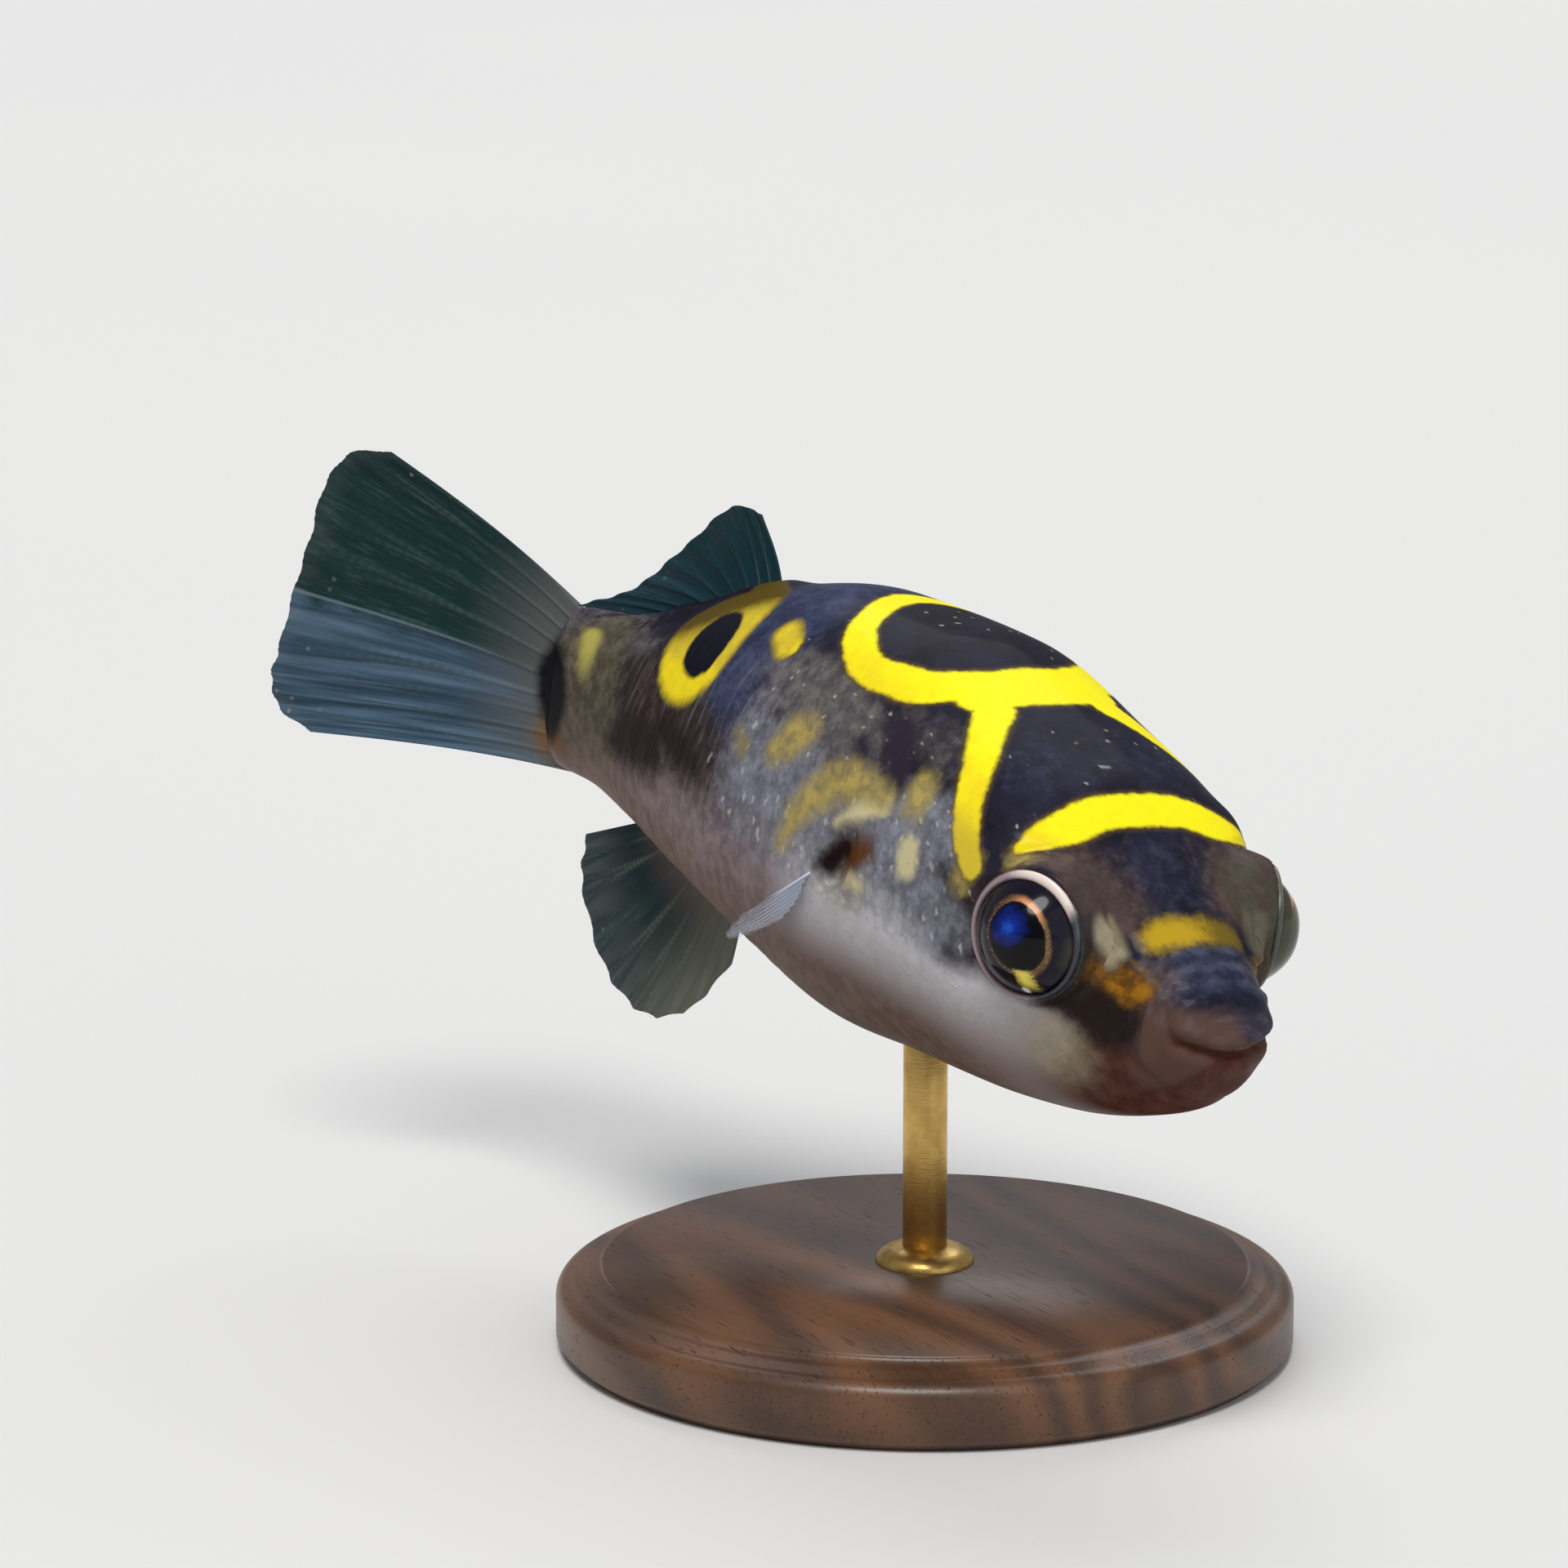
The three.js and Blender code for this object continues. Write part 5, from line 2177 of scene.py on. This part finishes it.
def back_fin() -> Fin:
    """Swept back, its first rays leaning left and its last rays laid along the back to the right."""
    return Fin(
        name="back_fin",
        node="dorsal_fin",
        slot="dark_fin",
        rays=10,
        root=chart_line((42.8, 0, 9.0), (46.2, 0, 7.4), (49.8, 0, 5.4)),
        margin=chart_line(
            (46.3, 0.8, 12.9), (48.6, 0.9, 12.6), (51.6, 0.5, 9.3), (54.0, -0.6, 6.3), (57.0, -1.9, 4.6)
        ),
        bulge=lambda along, out: sideways(0.3 * np.sin(math.pi * out)),
    )


def vent_fin() -> Fin:
    """Fan-shaped and rounded, behind the vent."""
    return Fin(
        name="vent_fin",
        node="anal_fin",
        slot="dark_fin",
        rays=10,
        root=chart_line((41.8, 0, -6.8), (44.4, 0, -6.2), (47.8, 0, -5.0)),
        margin=chart_line(
            (42.2, 0, -12.2),
            (44.6, 0, -15.7),
            (48.5, 0, -17.3),
            (52.8, 0, -16.0),
            (55.8, 0, -11.8),
            (55.6, 0, -8.8),
        ),
        bulge=lambda along, out: sideways(-0.5 * np.sin(math.pi * 2 * along) * out**2),
        scallop=0.022,
    )


def sideways(amount: Numbers) -> Numbers:
    """Pushes to the fish's left."""
    return np.stack([np.zeros_like(amount), amount, np.zeros_like(amount)], axis=-1)


@dataclass(frozen=True)
class BreastFan:
    """A short fan behind the gill opening, held out from the flank."""

    way: int
    top: tuple[float, float, float] = (-24.8, 9.3, 0.8)
    bottom: tuple[float, float, float] = (-25.6, 9.2, -1.6)
    middle: tuple[float, float, float] = (-0.81, 0.1, -0.645)
    spread: tuple[float, float, float] = (0.23, 0.91, -0.33)
    turns: tuple[float, float] = (62.0, 6.0)
    reach: float = 5.7
    rounding: float = 0.2

    def root(self, along: Numbers) -> Numbers:
        """The root line.

        Args:
            along: Shares along the fin.

        Returns:
            The points of the root.
        """
        share = np.asarray(along)[..., None]
        line = np.array(self.top) * (1 - share) + np.array(self.bottom) * share
        return line * [1, self.way, 1]

    def margin(self, along: Numbers) -> Numbers:
        """The margin.

        Args:
            along: Shares along the fin.

        Returns:
            The points of the margin.
        """
        along = np.asarray(along)
        turn = np.radians(self.turns[0] * (1 - along) + self.turns[1] * along)
        length = self.reach * (1 - self.rounding * (2 * along - 1) ** 2)
        middle, spread = unit(np.array(self.middle)), unit(np.array(self.spread))
        ray = middle * np.cos(turn)[..., None] + spread * np.sin(turn)[..., None]
        return self.root(along) + ray * length[..., None] * [1, self.way, 1]

    def fin(self) -> Fin:
        """The fin that has this root and margin."""
        side = "left" if self.way == LEFT else "right"
        return Fin(
            name=f"breast_fin_{side}",
            node=f"pectoral_fin_{side}",
            slot="clear_fin",
            rays=8,
            columns=18,
            rows=60,
            root=self.root,
            margin=self.margin,
            bulge=lambda along, out: sideways(np.zeros_like(out)),
            ray_half=0.12,
            web_half=0.05,
            ripple=0.08,
            root_extra=0.15,
        )


# The tail fin's upper half (first) is darker than its lower half (second): painted shade on the upper half.
TAIL_FINISH = FinFinish(
    name="tail_fin_membrane",
    root=srgb(94, 95, 94),
    first=srgb(20, 45, 45),
    second=srgb(46, 68, 84),
    ray=srgb(100, 116, 120),
    band=srgb(88, 112, 134),
    split=(0.48, 0.53),
    root_reach=0.5,
    ray_share=0.45,
    see_through=0.18,
    thin_from=(0.88, 1.0),
    divide=0.5,
)
BACK_FINISH = FinFinish(
    name="back_fin_membrane",
    root=srgb(48, 54, 62),
    first=srgb(16, 46, 53),
    second=srgb(20, 46, 56),
    ray=srgb(60, 82, 88),
    band=srgb(36, 64, 74),
    split=(0.45, 0.75),
    root_reach=0.3,
    ray_share=0.35,
    see_through=0.1,
)
VENT_FINISH = FinFinish(
    name="vent_fin_membrane",
    root=srgb(112, 94, 86),
    first=srgb(104, 106, 92),
    second=srgb(14, 38, 41),
    ray=srgb(130, 138, 124),
    band=srgb(26, 52, 54),
    split=(0.1, 0.62),
    root_reach=0.55,
    ray_share=0.6,
    see_through=0.22,
    clear_root=0.6,
)
BREAST_FINISH = FinFinish(
    name="breast_fin_membrane",
    root=srgb(186, 190, 204),
    first=srgb(196, 204, 222),
    second=srgb(196, 204, 222),
    ray=srgb(214, 218, 230),
    band=srgb(206, 212, 228),
    split=(0.3, 0.7),
    root_reach=0.3,
    ray_share=0.45,
    see_through=1.1,
    thin_from=(0.15, 0.8),
    rough=0.32,
)


# ---------------------------------------------------------------- the stand


@dataclass
class Stand:
    """A plain turned base and one rod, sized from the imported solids."""

    foot: float = 0.35
    bead: float = 0.9
    rod_end: float = 0.2
    collar_wide: float = 1.5
    collar_tall: float = 0.9
    collar_sunk: float = 0.1
    steps: int = 128
    rod_steps: int = 48
    collar_steps: int = 64

    def build(self) -> None:
        """Makes the base, the rod and the collar at its foot."""
        wood, brass = WalnutFinish().material(), BrassFinish().material()
        base = add_piece(self.base(), wood)
        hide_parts("stand_base")
        rod = add_piece(self.rod(), brass)
        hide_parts("stand_rod")
        add_piece(self.collar(), brass)

    def base(self) -> bpy.types.Mesh:
        """A flat disc with a small foot, a hollowed shoulder and a rounded upper edge.

        Returns:
            The base.
        """
        low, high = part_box("stand_base")
        radius, height = high.x, high.z
        foot, bead = self.foot * MM, self.bead * MM
        cove = [
            (radius - bead * (1 - math.cos(a)), height - bead * 1.9 + bead * math.sin(a))
            for a in np.linspace(0, math.pi / 2, 10)
        ]
        step = [(radius - bead * 1.25, height - bead * 0.9), (radius - bead * 1.6, height - bead * 0.55)]
        crown = [
            (radius - bead * (1.6 + 1.2 * math.sin(a)), height - bead * 0.55 * math.cos(a))
            for a in np.linspace(0.2, math.pi / 2, 8)
        ]
        under = [
            (0, low.z),
            (radius - foot * 2, low.z),
            (radius - foot, low.z + foot),
            (radius, low.z + foot * 2),
        ]
        return turned_mesh("stand_walnut_base", [*under, *cove, *step, *crown, (0, height)], self.steps)

    def rod(self) -> bpy.types.Mesh:
        """A round rod with eased ends.

        Returns:
            The rod.
        """
        low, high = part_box("stand_rod")
        radius, ease_by = high.x, self.rod_end * MM
        profile = [
            (0, low.z),
            (radius - ease_by, low.z),
            (radius, low.z + ease_by),
            (radius, high.z - ease_by),
            (radius - ease_by, high.z),
            (0, high.z),
        ]
        return turned_mesh("stand_brass_rod", profile, self.rod_steps)

    def collar(self) -> bpy.types.Mesh:
        """A small domed washer where the rod enters the base.

        Returns:
            The collar.
        """
        rod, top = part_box("stand_rod")[1].x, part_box("stand_base")[1].z
        wide, tall, sunk = self.collar_wide * MM, self.collar_tall * MM, self.collar_sunk * MM
        dome = [
            (rod + wide * math.cos(a), top + tall * math.sin(a)) for a in np.linspace(0, math.pi / 2, 10)
        ]
        profile = [(rod - sunk, top - sunk), (rod + wide, top - sunk), *dome, (rod - sunk, top + tall)]
        return turned_mesh("stand_brass_collar", profile, self.collar_steps, closed=True)


# ---------------------------------------------------------------- the studio


@dataclass(frozen=True)
class Lamp:
    """A broad soft light from far off, spread over an angle in degrees, that shines on the fish."""

    name: str
    azimuth: float
    elevation: float
    spread: float
    strength: float
    colour: tuple[float, float, float] = (1.0, 1.0, 1.0)


@dataclass(frozen=True)
class Studio:
    """The camera, the soft lights and the plain pale floor."""

    aim: tuple[float, float, float] = (13.8, -16.67, 35.22)
    azimuth: float = 60.25
    elevation: float = 12.0
    distance: float = 309.06
    lens: float = 141.9
    sensor: float = 36.0
    nearest: float = 0.01
    surround: Colour = (0.93, 0.95, 1.0, 1.0)
    surround_strength: float = 0.3
    floor_radius: float = 12.0
    floor_tones: tuple[Colour, Colour] = (srgb(218, 218, 218), srgb(223, 222, 220))
    lamps: tuple[Lamp, ...] = (
        Lamp("key", 50, 60, 26, 2.3, (1.0, 0.985, 0.96)),
        Lamp("fill", 100, 25, 50, 0.35, (0.95, 0.97, 1.0)),
        Lamp("back", 235, 50, 40, 0.8, (0.95, 0.97, 1.0)),
    )

    @staticmethod
    def off(target: Vector, azimuth: float, elevation: float, distance: float) -> Vector:
        """Finds a place off the target.

        Args:
            target: Where it is measured from.
            azimuth: The angle from -Y towards +X, in degrees.
            elevation: The angle above the floor, in degrees.
            distance: How far, in metres.

        Returns:
            The place.
        """
        a, e = math.radians(azimuth), math.radians(elevation)
        way = Vector((math.sin(a) * math.cos(e), -math.cos(a) * math.cos(e), math.sin(e)))
        return target + distance * way

    def build(self) -> None:
        """Sets up the world, the floor, the lights and the camera."""
        target = Vector(self.aim) * MM
        self.world()
        self.floor()
        for lamp in self.lamps:
            light = bpy.data.lights.new(lamp.name, "SUN")
            light.angle, light.energy, light.color = math.radians(lamp.spread), lamp.strength, lamp.colour
            held = self.add(lamp.name, light, self.off(target, lamp.azimuth, lamp.elevation, 1.0))
            held.rotation_euler = (target - held.location).to_track_quat("-Z", "Y").to_euler()
        lens = bpy.data.cameras.new("camera")
        lens.lens, lens.sensor_width, lens.clip_start = self.lens, self.sensor, self.nearest
        camera = self.add("camera", lens, self.off(target, self.azimuth, self.elevation, self.distance * MM))
        camera.rotation_euler = (target - camera.location).to_track_quat("-Z", "Y").to_euler()
        bpy.context.scene.camera = camera
        bpy.context.scene.view_settings.view_transform = "Standard"

    @staticmethod
    def add(name: str, data: bpy.types.ID, place: Vector) -> bpy.types.Object:
        """Puts a light or the camera in its place.

        Args:
            name: The object's name.
            data: The light or the camera.
            place: Where it goes, in metres.

        Returns:
            The object.
        """
        held = bpy.data.objects.new(name, data)
        held.location = place
        bpy.context.scene.collection.objects.link(held)
        return held

    def world(self) -> None:
        """An even pale surround."""
        world = bpy.data.worlds.new("studio")
        world.use_nodes = True
        surround = world.node_tree.nodes["Background"]
        surround.inputs["Color"].default_value = self.surround
        surround.inputs["Strength"].default_value = self.surround_strength
        bpy.context.scene.world = world

    def floor(self) -> None:
        """A wide pale floor with a faint tooth."""
        bm = bmesh.new()
        bmesh.ops.create_circle(bm, cap_ends=True, segments=96, radius=self.floor_radius)
        mesh = to_mesh("floor", bm)
        s = Shader("pale_floor")
        place = s.place()
        tooth = s.relief(s.noise(place, 900.0, 2.0), 0.02)
        colour = s.mix(s.noise(place, 3.0, 2.0), *self.floor_tones)
        mesh.materials.append(s.finish({"Roughness": 0.85}, {"Base Color": colour, "Normal": tooth}))
        floor = bpy.data.objects.new("floor", mesh)
        bpy.context.scene.collection.objects.link(floor)


# ---------------------------------------------------------------- assembly


def main() -> None:
    """Builds every part in order."""
    logging.basicConfig(level=logging.INFO, format="%(name)s %(message)s")
    Studio().build()
    Flesh().build()
    # The left eye takes a wide painted olive cornea sheen and the shaded rim; the right eye only a thin sheen
    # at its snout side.
    Eye(LEFT).build(EyeFinish("clear_eye_left", (0.3, 1.8)).material(), SHADED_OLIVE_RIM.material())
    Eye(RIGHT).build(EyeFinish("clear_eye_right", (2.4, 3.1)).material(), RimFinish().material())
    for fin, finish in ((tail_fin(), TAIL_FINISH), (back_fin(), BACK_FINISH), (vent_fin(), VENT_FINISH)):
        fin.build(finish.material())
    clear = BREAST_FINISH.material()
    for way in (LEFT, RIGHT):
        BreastFan(way).fin().build(clear)
    Stand().build()


if __name__ == "__main__":
    main()
